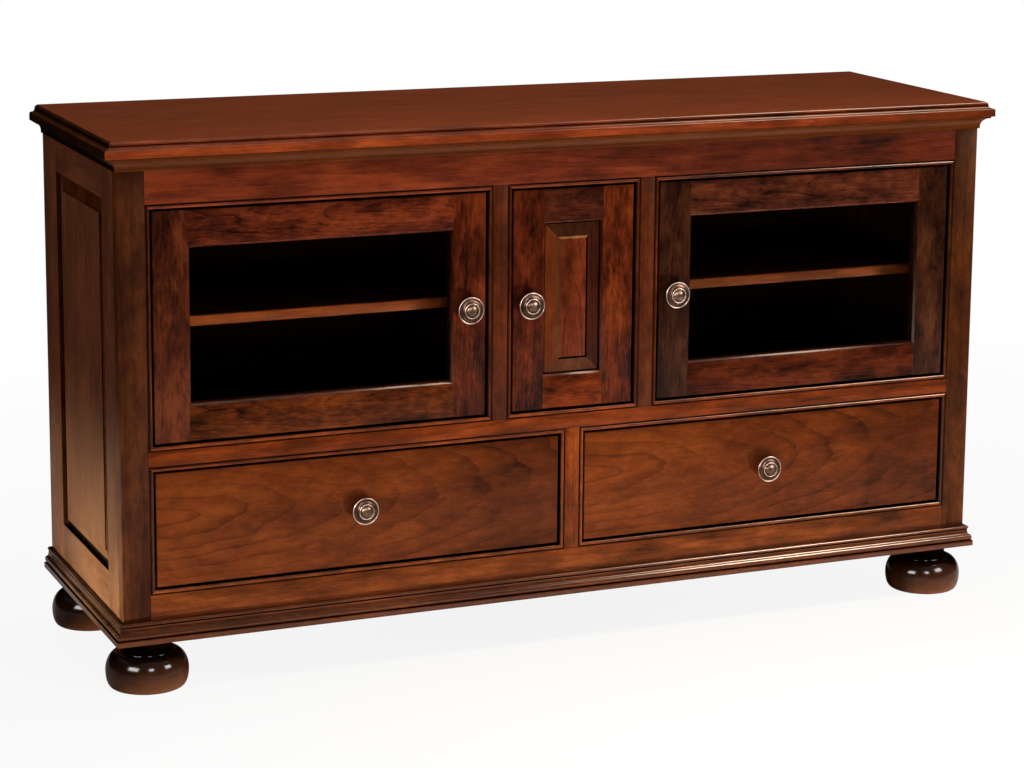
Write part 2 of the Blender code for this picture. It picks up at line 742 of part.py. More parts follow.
def make_glass_door(side):
    """Adds the rabbet, the pane in it and the stop that holds the pane from behind."""
    frame, sight = make_door(side, GLASS_DOOR_FRAME)
    lip_back = DOOR_FACE + GLASS_LIP
    (x_low, x_high), (z_low, z_high) = widen(sight, RABBET)
    cut_box(frame, (x_low, lip_back, z_low), (x_high, DOOR_BACK + RABBET, z_high))
    (x_low, x_high), (z_low, z_high) = widen(sight, RABBET - SEAT)
    pane_front = lip_back + SEAT
    pane_back = pane_front + GLASS_THICKNESS
    carrier = DOORS[side]
    board(side + "_door_glass", carrier, (x_low, pane_front, z_low), (x_high, pane_back, z_high), GLASS)
    stop_front = pane_back + SEAT
    stop_back = DOOR_BACK - SEAT
    stop = board(
        side + "_glass_stop",
        carrier,
        (x_low, stop_front, z_low),
        (x_high, stop_back, z_high),
        CHERRY,
    )
    (x_low, x_high), (z_low, z_high) = sight
    cut_box(stop, (x_low, stop_front - RABBET, z_low), (x_high, stop_back + RABBET, z_high))


def make_panel_door(side):
    """Adds the groove and the raised panel that floats in it."""
    frame, sight = make_door(side, PANEL_DOOR_FRAME)
    groove_front = DOOR_FACE + PANEL_LIP
    groove_back = groove_front + TONGUE_THICKNESS + 2 * SEAT
    (x_low, x_high), (z_low, z_high) = widen(sight, TONGUE + SEAT)
    cut_box(frame, (x_low, groove_front, z_low), (x_high, groove_back, z_high))
    (x_low, x_high), (z_low, z_high) = widen(sight, TONGUE)
    raised_panel(
        side + "_door_panel",
        DOORS[side],
        (x_low, groove_front + SEAT, z_low),
        (x_high, groove_back - SEAT, z_high),
        -Y,
        CHERRY,
    )


# Drawers and runners


def make_drawer(side):
    x_low, x_high = DRAWER_SPANS[side]
    carrier = DRAWERS[side]
    front = board(
        side + "_drawer_front",
        carrier,
        (x_low + DOOR_GAP, DOOR_FACE, DRAWER_LOW + DOOR_GAP),
        (x_high - DOOR_GAP, DOOR_BACK, DRAWER_HIGH - DOOR_GAP),
        CHERRY,
    )
    round_edges(front, EDGE_ROUND)
    make_knob(side + "_drawer_knob", carrier, (x_low + x_high) / 2, (DRAWER_LOW + DRAWER_HIGH) / 2)

    box_low = Vector((x_low + DRAWER_SIDE_GAP, DOOR_BACK + SEAT, DRAWER_BOX_LOW))
    box_top = DRAWER_BOX_LOW + DRAWER_BOX_HEIGHT
    box_high = Vector((x_high - DRAWER_SIDE_GAP, BACK_FACE - DRAWER_BACK_ROOM, box_top))
    box = board(side + "_drawer_box", carrier, box_low, box_high, DRAWER_WOOD)
    inside_low = box_low + DRAWER_WALL * X
    inside_high = box_high - DRAWER_WALL * (X + Y)
    cut_box(box, inside_low - DRAWER_WALL * (Y + Z), inside_high + DRAWER_WALL * Z)

    bottom_z = DRAWER_BOX_LOW + DRAWER_BOTTOM_RISE
    top_z = bottom_z + DRAWER_BOTTOM_THICKNESS
    groove = DRAWER_BOTTOM_GROOVE
    cut_box(
        box,
        (inside_low.x - groove, box_low.y - DRAWER_WALL, bottom_z - SEAT),
        (inside_high.x + groove, inside_high.y + groove, top_z + SEAT),
    )
    board(
        side + "_drawer_bottom",
        carrier,
        (inside_low.x - groove + SEAT, box_low.y, bottom_z),
        (inside_high.x + groove - SEAT, inside_high.y + groove - SEAT, top_z),
        DRAWER_WOOD,
    )


def make_runners(side):
    """The strips that the drawer's two sides slide on, fixed to the side frame and to the divider."""
    x_low, x_high = DRAWER_SPANS[side]
    wall_low = x_low + DRAWER_SIDE_GAP + DRAWER_WALL
    wall_high = x_high - DRAWER_SIDE_GAP - DRAWER_WALL
    if side == "left":
        spans = {"outer": (SEAT - SIDE_INSIDE, wall_low), "inner": (wall_high, -BOARD / 2 - SEAT)}
    else:
        spans = {"outer": (wall_high, SIDE_INSIDE - SEAT), "inner": (BOARD / 2 + SEAT, wall_low)}
    top = DRAWER_BOX_LOW - SEAT
    for name, (low, high) in spans.items():
        board(
            f"{side}_runner_{name}",
            CASE,
            (low, FRAME_BACK + SEAT, top - RUNNER_HEIGHT),
            (high, BACK_FACE - SEAT, top),
            DRAWER_WOOD,
        )


make_top()
mitred_mouldings("cove", cove_outline(), COVE_LOW - SEAT)
mitred_mouldings("base", base_outline(), FOOT_HEIGHT)
make_face_frame()
make_sides()
make_inside()
make_feet()
make_glass_door("left")
make_panel_door("centre")
make_glass_door("right")
for drawer_side in DRAWER_SPANS:
    make_drawer(drawer_side)
    make_runners(drawer_side)
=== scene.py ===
"""The looks of the TV console: turned, moulded and panelled pieces in stained cherry.

Metres, +Z up, +X to the right, the front faces -Y.
"""

import json
import math

import bmesh
import bpy
from mathutils import Matrix, Vector


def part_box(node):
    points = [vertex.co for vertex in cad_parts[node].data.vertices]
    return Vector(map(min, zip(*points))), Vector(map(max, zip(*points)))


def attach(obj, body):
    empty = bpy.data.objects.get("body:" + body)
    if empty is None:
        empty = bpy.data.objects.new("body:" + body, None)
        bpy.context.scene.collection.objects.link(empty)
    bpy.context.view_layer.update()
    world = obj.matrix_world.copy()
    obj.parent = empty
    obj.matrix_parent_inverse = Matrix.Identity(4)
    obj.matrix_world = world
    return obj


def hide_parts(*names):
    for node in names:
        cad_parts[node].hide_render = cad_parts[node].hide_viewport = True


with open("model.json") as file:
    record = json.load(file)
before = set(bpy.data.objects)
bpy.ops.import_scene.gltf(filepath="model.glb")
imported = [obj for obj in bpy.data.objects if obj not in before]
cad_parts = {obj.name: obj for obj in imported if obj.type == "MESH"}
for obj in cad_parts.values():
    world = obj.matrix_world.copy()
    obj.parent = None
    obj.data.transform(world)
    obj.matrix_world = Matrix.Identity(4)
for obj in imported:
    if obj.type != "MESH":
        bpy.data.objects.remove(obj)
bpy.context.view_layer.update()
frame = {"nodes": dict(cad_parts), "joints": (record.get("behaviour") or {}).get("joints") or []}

# Slab edge, from the square band up to the flat of the top
TOP_BAND = 0.010
TOP_SHOULDER = 0.0035
TOP_HOLLOW_IN = 0.005
TOP_HOLLOW_UP = 0.0045
TOP_QUIRK = 0.0012
TOP_ROUND_IN = 0.0065
TOP_ROUND_UP = 0.0053

# Mouldings under the slab and over the feet
COVE_LIP = 0.003
BASE_BAND = 0.0085
BASE_QUIRK = 0.0015
BASE_MEMBER = 0.0105
BASE_SETBACK = 0.005
BASE_BEAD_RADIUS = 0.003

# Face frame
BEAD = 0.0075
BEAD_QUIRK = 0.0022
BEAD_PROUD = 0.0012
# How far painted shade runs from the board's edge, over the quirk and up the foot of the bead
BEAD_FOOT = 1.25 * BEAD_QUIRK

# Panels and door frames
TONGUE = 0.007
PANEL_BEVEL = 0.026
PANEL_RISE = 0.0035
# Width of the strip of painted shade at the foot of a panel's bevel
PANEL_SHADE_STRIP = 0.002
# How far painted shade runs up the foot of a side panel's bevel
POOLED_SHADE = 0.007
FIELD_STEP = 0.0015
FIELD_STEP_IN = 0.0004
WIDE_STEP_IN = 0.0035
GLASS_DOOR_FRAME = 0.0575
PANEL_DOOR_FRAME = 0.0555
STICKING = 0.003
GLASS_LIP = 0.009
PANEL_LIP = 0.006
PANEL_GROOVE = 0.0056
RABBET = 0.008
PIN_HOLE_RADIUS = 0.00245
PIN_HOLE_DEPTH = 0.0086

# Feet and knobs
FOOT_SOLE = 0.055
FOOT_WIDEST = 0.025
FOOT_SHOULDER = 0.043
FOOT_RING = 0.002
FOOT_NECK = 0.037
FOOT_NECK_HEIGHT = 0.026
KNOB_STEM = 0.0065
KNOB_STEM_LENGTH = 0.008
KNOB_LIP = 0.0016
KNOB_GROOVE = 0.0012
KNOB_HOLLOW = 0.0042
KNOB_BUTTON_RISE = 0.0034
KNOB_RING_RADIUS = 0.0125

# Shelves, their pegs, and the stops behind the tops of the doors
SHELF_LIPPING = 0.006
PEG_RADIUS = 0.003
PEG_LENGTH = 0.009
PEG_FROM_FRONT = 0.010
PEG_FROM_BACK = 0.045
STOP_THICKNESS = 0.010
STOP_DROP = 0.006
STOP_SEAT = 0.012
STOP_FROM_END = 0.035

# Sanded and eased edges, and the hairline left at a glued joint
EASE = 0.0005
DOOR_EASE = 0.0014
HAIRLINE = 0.0003

# How finely curves are cut
ARC_STEPS = 10
BEAD_STEPS = 12
FOOT_STEPS = 72
KNOB_STEPS = 56
DRILL_SIDES = 24
SMOOTH_ANGLE = math.radians(32)
MERGE_GAP = 1e-6

X, Y, Z = Vector((1, 0, 0)), Vector((0, 1, 0)), Vector((0, 0, 1))
OUT = -Y
# Which way along X each side lies
SIDES = {"left": -1, "right": 1}
DOORS = ("left", "centre", "right")


# Modelling by hand: every piece starts from a primitive and is shaped in edit mode


def pick(*pieces):
    """Selects these pieces alone, or none, and makes the first one active."""
    bpy.ops.object.select_all(action="DESELECT")
    for piece in pieces:
        piece.select_set(True)
    if pieces:
        bpy.context.view_layer.objects.active = pieces[0]


def settle(name):
    """Names the new primitive and puts its place and size into its mesh."""
    bpy.ops.object.transform_apply(location=True, rotation=True, scale=True)
    piece = bpy.context.object
    piece.name = name
    piece.data.name = name
    return piece


def block(name, low, high):
    """A squared block between two corners."""
    low, high = Vector(low), Vector(high)
    pick()
    bpy.ops.mesh.primitive_cube_add(size=1, location=(low + high) / 2, scale=high - low)
    return settle(name)


def open_up(piece):
    """Goes into edit mode on one piece alone, with nothing on it selected."""
    pick(piece)
    bpy.ops.object.mode_set(mode="EDIT")
    bpy.ops.mesh.select_mode(type="FACE")
    bpy.ops.mesh.select_all(action="DESELECT")
    return bmesh.from_edit_mesh(piece.data)


def close_up():
    bpy.ops.object.mode_set(mode="OBJECT")


def select_all():
    bpy.ops.mesh.select_all(action="SELECT")


def draw_line(name, points):
    """A line drawn from one point, by extruding it from place to place. It stays open in edit mode."""
    pick()
    bpy.ops.mesh.primitive_plane_add(size=EASE, location=points[0])
    piece = settle(name)
    bpy.ops.object.mode_set(mode="EDIT")
    bpy.ops.mesh.select_mode(type="VERT")
    select_all()
    bpy.ops.mesh.merge(type="CENTER")
    for start, end in zip(points, points[1:]):
        bpy.ops.mesh.extrude_vertices_move(TRANSFORM_OT_translate={"value": end - start})
    return piece


def tidy_mesh():
    """Merges doubled points, turns the faces outwards and leaves edit mode."""
    select_all()
    bpy.ops.mesh.remove_doubles(threshold=MERGE_GAP)
    bpy.ops.mesh.normals_make_consistent(inside=False)
    close_up()


def length_of(name, outline, start, across, up, run):
    """A straight length of moulding: its outline is drawn, filled, and extruded along the run."""
    points = [start + u * across + v * up for u, v in outline]
    piece = draw_line(name, [*points, points[0]])
    select_all()
    bpy.ops.mesh.remove_doubles(threshold=MERGE_GAP)
    bpy.ops.mesh.edge_face_add()
    bpy.ops.mesh.extrude_region_move(TRANSFORM_OT_translate={"value": run})
    tidy_mesh()
    return piece


def saw(piece, point, outward):
    """Saws a piece at a plane and throws away the side that outward points to."""
    open_up(piece)
    select_all()
    bpy.ops.mesh.bisect(plane_co=point, plane_no=outward, use_fill=True, clear_outer=True)
    close_up()


def raise_field(piece, facing, steps):
    """Insets the face that looks along facing again and again, raising it a little each time."""
    mesh = open_up(piece)
    face = max(mesh.faces, key=lambda f: f.normal.dot(facing) * f.calc_area())
    face.select_set(True)
    for inset, rise in steps:
        bpy.ops.mesh.inset(thickness=inset, depth=rise)
    close_up()


def turn(name, profile, centre, axis, across, steps):
    """A turned piece: radius and height pairs are drawn as a line and spun round the axis."""
    piece = draw_line(name, [centre + radius * across + height * axis for radius, height in profile])
    select_all()
    bpy.ops.mesh.spin(steps=steps, angle=2 * math.pi, center=centre, axis=axis)
    tidy_mesh()
    return piece


def modify(piece, kind, **settings):
    """Adds a modifier with its settings to a piece, and applies it."""
    pick(piece)
    bpy.ops.object.modifier_add(type=kind)
    modifier = piece.modifiers[-1]
    for name, value in settings.items():
        setattr(modifier, name, value)
    bpy.ops.object.modifier_apply(modifier=modifier.name)


def ease_edges(piece, width, segments=2):
    """Sands every sharp edge to a small round."""
    modify(
        piece, "BEVEL", width=width, segments=segments, limit_method="ANGLE", angle_limit=SMOOTH_ANGLE
    )


def drill(piece, at, radius, depth):
    """A round upright hole, bored by a cutter that is then taken away."""
    pick()
    bpy.ops.mesh.primitive_cylinder_add(vertices=DRILL_SIDES, radius=radius, depth=2 * depth, location=at)
    bit = settle(piece.name + "_bit")
    modify(piece, "BOOLEAN", object=bit, operation="DIFFERENCE", solver="EXACT")
    bpy.data.objects.remove(bit, do_unlink=True)


def glue(piece, others):
    """Joins other pieces to the first, as one object."""
    pick(piece, *others)
    bpy.ops.object.join()


def arc(centre, radii, start, end, steps=ARC_STEPS):
    """Points on an ellipse's arc, from one angle to another, in degrees."""
    angles = [math.radians(start + (end - start) * i / steps) for i in range(steps + 1)]
    return [(centre[0] + radii[0] * math.cos(a), centre[1] + radii[1] * math.sin(a)) for a in angles]


def fit(piece, *nodes, body="case", slot="cherry"):
    """A finished piece is shaded smooth, rides on its body and stands for nodes, which are hidden; its
    slot is not used.
    """
    pick(piece)
    bpy.ops.object.shade_smooth_by_angle(angle=SMOOTH_ANGLE)
    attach(piece, body)
    if nodes:
        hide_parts(*nodes)


# Finishes


def from_hex(text):
    """A colour written as on a paint card, as the linear values that a shader takes."""
    parts = [int(text[i:i + 2], 16) / 255 for i in (1, 3, 5)]
    linear = [p / 12.92 if p <= 0.04045 else ((p + 0.055) / 1.055) ** 2.4 for p in parts]
    return (*linear, 1.0)


class Nodes:
    """The nodes of a material or of the world, under construction."""

    def __init__(self, owner, output, coordinates):
        owner.use_nodes = True
        self.tree = owner.node_tree
        self.output = self.tree.nodes[output]
        self.place = self.add("ShaderNodeTexCoord").outputs[coordinates]

    def add(self, kind, **settings):
        made = self.tree.nodes.new(kind)
        for name, value in settings.items():
            setattr(made, name, value)
        return made

    def feed(self, socket, value):
        """Links an output to a socket, or sets a plain value on it."""
        if isinstance(value, bpy.types.NodeSocket):
            self.tree.links.new(value, socket)
        else:
            socket.default_value = value

    def fill(self, node, **values):
        """Feeds the inputs of a node by their names."""
        for name, value in values.items():
            self.feed(node.inputs[name.replace("_", " ")], value)

    def maths(self, operation, *values):
        made = self.add("ShaderNodeMath", operation=operation)
        for socket, value in zip(made.inputs, values):
            self.feed(socket, value)
        return made.outputs[0]

    def along(self, axis):
        """One of the coordinates."""
        split = self.add("ShaderNodeSeparateXYZ")
        self.fill(split, Vector=self.place)
        return split.outputs[axis]

    def ramp(self, value, *stops):
        """A colour ramp through (place, colour) stops."""
        made = self.add("ShaderNodeValToRGB")
        points = made.color_ramp.elements
        while len(points) < len(stops):
            points.new(0.5)
        for point, (place, colour) in zip(points, stops):
            point.position = place
            point.color = from_hex(colour) if isinstance(colour, str) else colour
        self.fill(made, Fac=value)
        return made.outputs["Color"]

    def light_path(self):
        return self.add("ShaderNodeLightPath").outputs

    def seen_straight(self):
        """1 where the camera looks straight or through a pane, 0 for light that some surface sent on."""
        path = self.light_path()
        seen = self.maths("MAXIMUM", path["Is Camera Ray"], path["Is Transmission Ray"])
        sent_on = self.maths("ADD", path["Diffuse Depth"], path["Glossy Depth"])
        return self.maths("MULTIPLY", seen, self.maths("LESS_THAN", sent_on, 0.5))

    def show_mix(self, share, first, second):
        """Sends a mix of two shaders to the output, by the share of the second."""
        mix = self.add("ShaderNodeMixShader")
        for socket, value in zip(mix.inputs, (share, first.outputs[0], second.outputs[0])):
            self.feed(socket, value)
        self.fill(self.output, Surface=mix.outputs[0])


class Finish(Nodes):
    """A material under construction, in the coordinates of its object."""

    def __init__(self, name):
        self.material = bpy.data.materials.new(name)
        super().__init__(self.material, "Material Output", "Object")
        self.shader = self.tree.nodes["Principled BSDF"]

    def placed(self, scale, turn=(0, 0, 0), shift=(0, 0, 0)):
        """Object coordinates, stretched, turned and shifted."""
        mapping = self.add("ShaderNodeMapping")
        self.fill(mapping, Vector=self.place, Scale=scale, Rotation=turn, Location=shift)
        return mapping.outputs["Vector"]

    def noise(self, scale, detail=2.0, roughness=0.5, shift=(0, 0, 0)):
        """Noise with so many features in a metre along each axis."""
        made = self.add("ShaderNodeTexNoise")
        place = self.placed(scale, shift=shift)
        self.fill(made, Vector=place, Scale=1.0, Detail=detail, Roughness=roughness)
        return made.outputs["Fac"]

    def between(self, value, low, high):
        """Spreads a value from 0 to 1 over a new range."""
        made = self.add("ShaderNodeMapRange")
        self.fill(made, Value=value, To_Min=low, To_Max=high)
        return made.outputs["Result"]

    def set(self, **values):
        self.fill(self.shader, **values)

    def coat(self, tone, colours, texture, roughness, bump=None, **settings):
        """Colours that follow a tone, and a roughness and a bump that follow a texture."""
        self.set(Base_Color=self.ramp(tone, *colours), **settings)
        self.set(Roughness=self.between(texture, *roughness))
        if bump:
            strength, depth = bump
            made = self.add("ShaderNodeBump")
            self.fill(made, Height=texture, Strength=strength, Distance=depth)
            self.set(Normal=made.outputs["Normal"])
        return self.material


# Grain runs along one axis. The growth rings lie round a pith, set back along the second axis and aside
# along the third.
GRAIN_AXES = {"X": (0, 1, 2), "Y": (1, 0, 2), "Z": (2, 1, 0)}
RING_UNIT = 0.314
RING_SHARPNESS = 4.0
GRAIN_STRETCH = 0.12
# Features in a metre along the grain and across it
PORES = (14, 620)
CLOUDS = (9, 24)
FLECKS = (70, 700)
FADING = (4, 12)
# Mottles in a metre along the grain, long streaks on rails and short flakes on stiles, and across it
RAIL_MOTTLE = 12.0
STILE_MOTTLE = 45.0
MOTTLE_ACROSS = 95
# How a board's colour changes where it takes the most stain and the least
DARK_STAIN = (0.14, 0.19, 0.33)
PALE_STAIN = (2.3, 2.5, 2.0)


def across_grain(grain, along, across):
    """A scale that differs along the grain and across it."""
    return Vector([along if axis == grain else across for axis in "XYZ"])


def shaded(colour, factors):
    return (*(min(1.0, part * factor) for part, factor in zip(colour, factors)), 1.0)


def cherry(
    name, grain, colour, middle, rings=0.007, figure=0.12, swirl=10.0, blotch=0.6,
    pith=(0.03, 0.0), tilt=0.0, stretch=GRAIN_STRETCH, waver=0.5, gloss=0.34, shine=0.10, drift=0.0,
    mottle=STILE_MOTTLE,
):
    """Stained cherry: growth lines round a pith, dark blotches, pores and short flecks under lacquer.

    The pith lies behind the middle of the piece by pith[0] and aside by pith[1], tilted along the grain.
    A board with drift grows paler along the grain, and darker where drift is negative.
    """
    wood = Finish(name)
    grain_axis, depth_axis, side_axis = GRAIN_AXES[grain]
    shrink = across_grain(grain, stretch, 1.0)
    pith_at = Vector(middle)
    pith_at[depth_axis] += pith[0]
    pith_at[side_axis] += pith[1]
    lean = Vector((0, 0, 0))
    lean[side_axis] = tilt
    turned_pith = Matrix.Rotation(tilt, 3, "XYZ"[side_axis]) @ (pith_at * shrink)
    place = wood.placed(shrink, lean, -turned_pith)

    wave = wood.add("ShaderNodeTexWave", wave_type="RINGS", rings_direction=grain, wave_profile="SAW")
    wood.fill(wave, Vector=place, Scale=RING_UNIT / rings, Distortion=swirl)
    wood.fill(wave, Detail=2.0, Detail_Scale=waver)
    lines = wood.maths("POWER", wave.outputs["Fac"], RING_SHARPNESS)

    pores = wood.noise(across_grain(grain, *PORES), detail=3.0, roughness=0.6)
    clouds = wood.noise(across_grain(grain, *CLOUDS), detail=5.0, roughness=0.6, shift=middle)
    flecks = wood.noise(across_grain(grain, *FLECKS))
    fading = wood.noise(across_grain(grain, *FADING), shift=middle)
    flakes = across_grain(grain, mottle, MOTTLE_ACROSS)
    mottles = wood.noise(flakes, detail=3.0, roughness=0.6, shift=middle)
    tone = wood.maths("MULTIPLY", lines, wood.between(fading, figure, -3 * figure))
    centre = 0.5 + figure / 4 - drift * middle[grain_axis]
    tone = wood.maths("ADD", tone, wood.between(clouds, centre - blotch, centre + blotch))
    tone = wood.maths("MULTIPLY_ADD", wood.along(grain), drift, tone)
    for marks, strength in ((mottles, blotch / 2), (pores, blotch / 4), (flecks, blotch / 3)):
        tone = wood.maths("ADD", tone, wood.between(marks, -strength, strength))
    mid = from_hex(colour)
    dark, pale = shaded(mid, DARK_STAIN), shaded(mid, PALE_STAIN)
    return wood.coat(
        tone, ((0.1, dark), (0.5, mid), (0.9, pale)), pores, (gloss - 0.06, gloss + 0.10),
        bump=(0.08, 0.0003), Specular_IOR_Level=shine,
    )


def painted_shade_finish(name, dark, pale):
    """Painted shade: a dark colour put into quirks, gaps, bevels and edges where shade falls."""
    wood = Finish(name)
    patches = wood.noise((40, 40, 40))
    stops = ((0.3, dark), (0.7, pale))
    return wood.coat(patches, stops, patches, (0.45, 0.6), Specular_IOR_Level=0.0)


def foot_lacquer_and_shade(height):
    """Dark glossy lacquer over turned wood, with painted shade that makes it darkest at the top of the
    foot.
    """
    wood = Finish("foot_lacquer_and_shade")
    lines = wood.noise((9, 160, 160), detail=3.0)
    rise = wood.maths("DIVIDE", wood.along("Z"), height)
    tone = wood.maths("MULTIPLY_ADD", lines, 0.3, rise)
    browns = ((0.2, "#6c4129"), (0.55, "#402314"), (0.85, "#1a0d07"))
    return wood.coat(tone, browns, lines, (0.10, 0.16), bump=(0.03, 0.0003), Specular_IOR_Level=0.2)


def bronze(name, dark, middle, pale):
    """Antique bronze, uneven where hands have rubbed it."""
    metal = Finish(name)
    wear = metal.noise((90, 90, 90), detail=4.0)
    specks = metal.noise((700, 700, 700))
    stops = ((0.3, dark), (0.5, middle), (0.7, pale))
    return metal.coat(wear, stops, specks, (0.28, 0.40), bump=(0.05, 0.0002), Metallic=1.0)


def hinge_steel():
    # Near-black steel, painted shade where the hinges sit in the doors' gaps
    metal = Finish("brushed_hinge_steel_in_shade")
    lines = metal.noise((60, 900, 900))
    return metal.coat(lines, ((0.3, "#0a0807"), (0.7, "#171412")), lines, (0.5, 0.65), Metallic=1.0)


def back_board(inner, outer):
    """A thin board, plain brown on its outer face and near-black on its inner face, painted shade."""
    wood = Finish("back_board")
    lines = wood.noise(across_grain("X", 3, 70), detail=5.0, roughness=0.6)
    outside = wood.maths("GREATER_THAN", wood.along("Y"), (inner + outer) / 2)
    tone = wood.maths("MULTIPLY", outside, lines)
    browns = ((0.0, INSIDE_SHADE), (0.3, "#5a361e"), (0.5, "#6b4327"), (0.7, "#7b5232"))
    return wood.coat(tone, browns, lines, (0.5, 0.65), bump=(0.06, 0.0003), Specular_IOR_Level=0.1)


def drawer_wood(grain):
    """Pale clear-lacquered wood for the drawer boxes and runners."""
    wood = Finish("drawer_wood_" + grain.lower())
    lines = wood.noise(across_grain(grain, 6, 240), detail=4.0)
    soft = wood.noise(across_grain(grain, 2, 16))
    tone = wood.maths("MULTIPLY_ADD", soft, 0.5, wood.between(lines, 0.0, 0.5))
    browns = ((0.25, "#8a5f38"), (0.5, "#b98a58"), (0.75, "#cfa676"))
    return wood.coat(tone, browns, lines, (0.4, 0.55), bump=(0.08, 0.0003), Specular_IOR_Level=0.3)


def pane_glass():
    """Clear glass that lets lamp light through to the shelves."""
    glass = Finish("pane_glass")
    glass.set(Base_Color=(0.93, 0.96, 0.95, 1.0), Roughness=0.0, IOR=1.12, Transmission_Weight=1.0)
    clear = glass.add("ShaderNodeBsdfTransparent")
    glass.show_mix(glass.light_path()["Is Shadow Ray"], glass.shader, clear)
    return glass.material


def middle_of(piece):
    corners = [Vector(c) for c in piece.bound_box]
    return sum(corners, Vector()) / len(corners)


def paint(piece, material, chosen):
    """Puts a material on the faces whose middles are chosen."""
    piece.data.materials.append(material)
    mesh = open_up(piece)
    for face in mesh.faces:
        face.select_set(chosen(face.calc_center_median()))
    piece.active_material_index = len(piece.data.materials) - 1
    bpy.ops.object.material_slot_assign()
    close_up()


def stain(piece, grain, colour, **figure):
    """Gives a piece its own board of stained cherry."""
    piece.data.materials.clear()
    piece.data.materials.append(cherry(piece.name + "_cherry", grain, colour, middle_of(piece), **figure))


# Painted shade: a near-black one for deep shade and a dark brown one for softer shade
DEEP_SHADE = painted_shade_finish("deep_shade", "#070302", "#120804")
SOFT_SHADE = painted_shade_finish("soft_shade", "#2a1209", "#42200f")
# Near-black for the inside of the case, its shelves and its stops: painted shade
INSIDE_SHADE = "#32150a"
INSIDE_FIGURE = {"figure": 0.1, "blotch": 0.2, "gloss": 0.6, "shine": 0.0}
BRONZE = bronze("antique_bronze", "#46342a", "#675042", "#87705f")
RUBBED_BRONZE = bronze("rubbed_bronze", "#a88a7a", "#cdb2a2", "#e6d2c6")
DARK_BRONZE = bronze("dark_bronze", "#38281f", "#50392e", "#664c3f")
# Pieces with lamps of their own: feet and knobs, moulded boards in front, the sides' boards, the back
SPOT_LIT, BEAD_LIT, SIDE_LIT, BACK_LIT = (
    bpy.data.collections.new(name) for name in ("spot_lit", "bead_lit", "side_lit", "back_lit")
)


# Top slab


def quarter_steps(inset, rise, start):
    """Insets and rises up a quarter: from 0 degrees it is round, and from -90 degrees it is hollow."""
    quarter = arc((0, 0), (inset, rise), start, start + 90)
    return [(abs(b[0] - a[0]), b[1] - a[1]) for a, b in zip(quarter, quarter[1:])]


def make_top():
    """A square band with a rounded shoulder, a hollow, a quirk and a rounding up to the flat."""
    low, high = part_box("top")
    steps = quarter_steps(TOP_SHOULDER, TOP_SHOULDER, 0)
    steps += quarter_steps(TOP_HOLLOW_IN, TOP_HOLLOW_UP, -90)
    steps += [(HAIRLINE, TOP_QUIRK)]
    steps += quarter_steps(TOP_ROUND_IN, TOP_ROUND_UP, 0)
    moulded = sum(inset for inset, _ in steps)
    slab = block("top_slab", low, (high.x, high.y + 2 * moulded, low.z + TOP_BAND))
    raise_field(slab, Z, steps)
    saw(slab, (0, high.y, low.z), Y)
    stain(
        slab, "X", "#8d4426",
        figure=0.04, swirl=6.0, blotch=0.12, pith=(0.02, -0.3), gloss=0.30, shine=0.3,
    )
    # Painted shade: the slab's ends take a much darker copy of its cherry, and the front edge a copy of
    # its own that grows darker towards the right
    ends = cherry("top_end_shaded_cherry", "Y", "#45210f", middle_of(slab), blotch=0.4, gloss=0.24, shine=0.2)
    edge = cherry(
        "top_edge_cherry", "X", "#84381a", middle_of(slab),
        blotch=0.45, gloss=0.15, shine=0.55, drift=-0.12, mottle=RAIL_MOTTLE,
    )
    paint(slab, ends, lambda at: at.z < high.z - HAIRLINE)
    paint(slab, edge, lambda at: at.z < high.z - HAIRLINE and at.y < low.y + moulded)
    # Painted shade in the quirk under the top's rounding
    quirk_low = low.z + TOP_BAND + TOP_SHOULDER + TOP_HOLLOW_UP
    paint(slab, DEEP_SHADE, lambda at: quirk_low < at.z < quirk_low + TOP_QUIRK and at.y < high.y - HAIRLINE)
    fit(slab, "top")


# Cove and base mouldings


def cove_outline(reach, height):
    hollow = arc((reach, COVE_LIP), (reach - COVE_LIP, height - 2 * COVE_LIP), 180, 90)
    return [(0, 0), (COVE_LIP, 0), *hollow, (reach, height), (0, height)]


def base_outline(reach, height):
    """Bottom band, half-round member, hollow and a small bead on top, going up."""
    lip = reach - BASE_SETBACK
    bead = BASE_BEAD_RADIUS
    waist = 2 * bead
    hollow_low = BASE_BAND + BASE_MEMBER
    hollow_high = height - 2 * bead
    points = [(0, 0), (reach, 0), (reach, BASE_BAND)]
    member = (BASE_SETBACK - BASE_QUIRK, BASE_MEMBER / 2)
    points += arc((lip, BASE_BAND + BASE_MEMBER / 2), member, -90, 90, 2 * ARC_STEPS)
    points += arc((lip, hollow_high), (lip - waist, hollow_high - hollow_low), 270, 180)[1:]
    points += arc((waist - bead / 2, height - bead), (bead, bead), -90, 90)
    return points + [(0, height)]


def moulding_quirk(reach, height, out, rise):
    """Whether a place, by its distance out and its rise, lies in one of the base's two quirks."""
    lower = abs(rise - BASE_BAND) < BASE_QUIRK and out < reach - BASE_QUIRK
    upper = abs(rise - height + 2 * BASE_BEAD_RADIUS) < BASE_QUIRK and out < reach - BASE_SETBACK
    return lower or upper


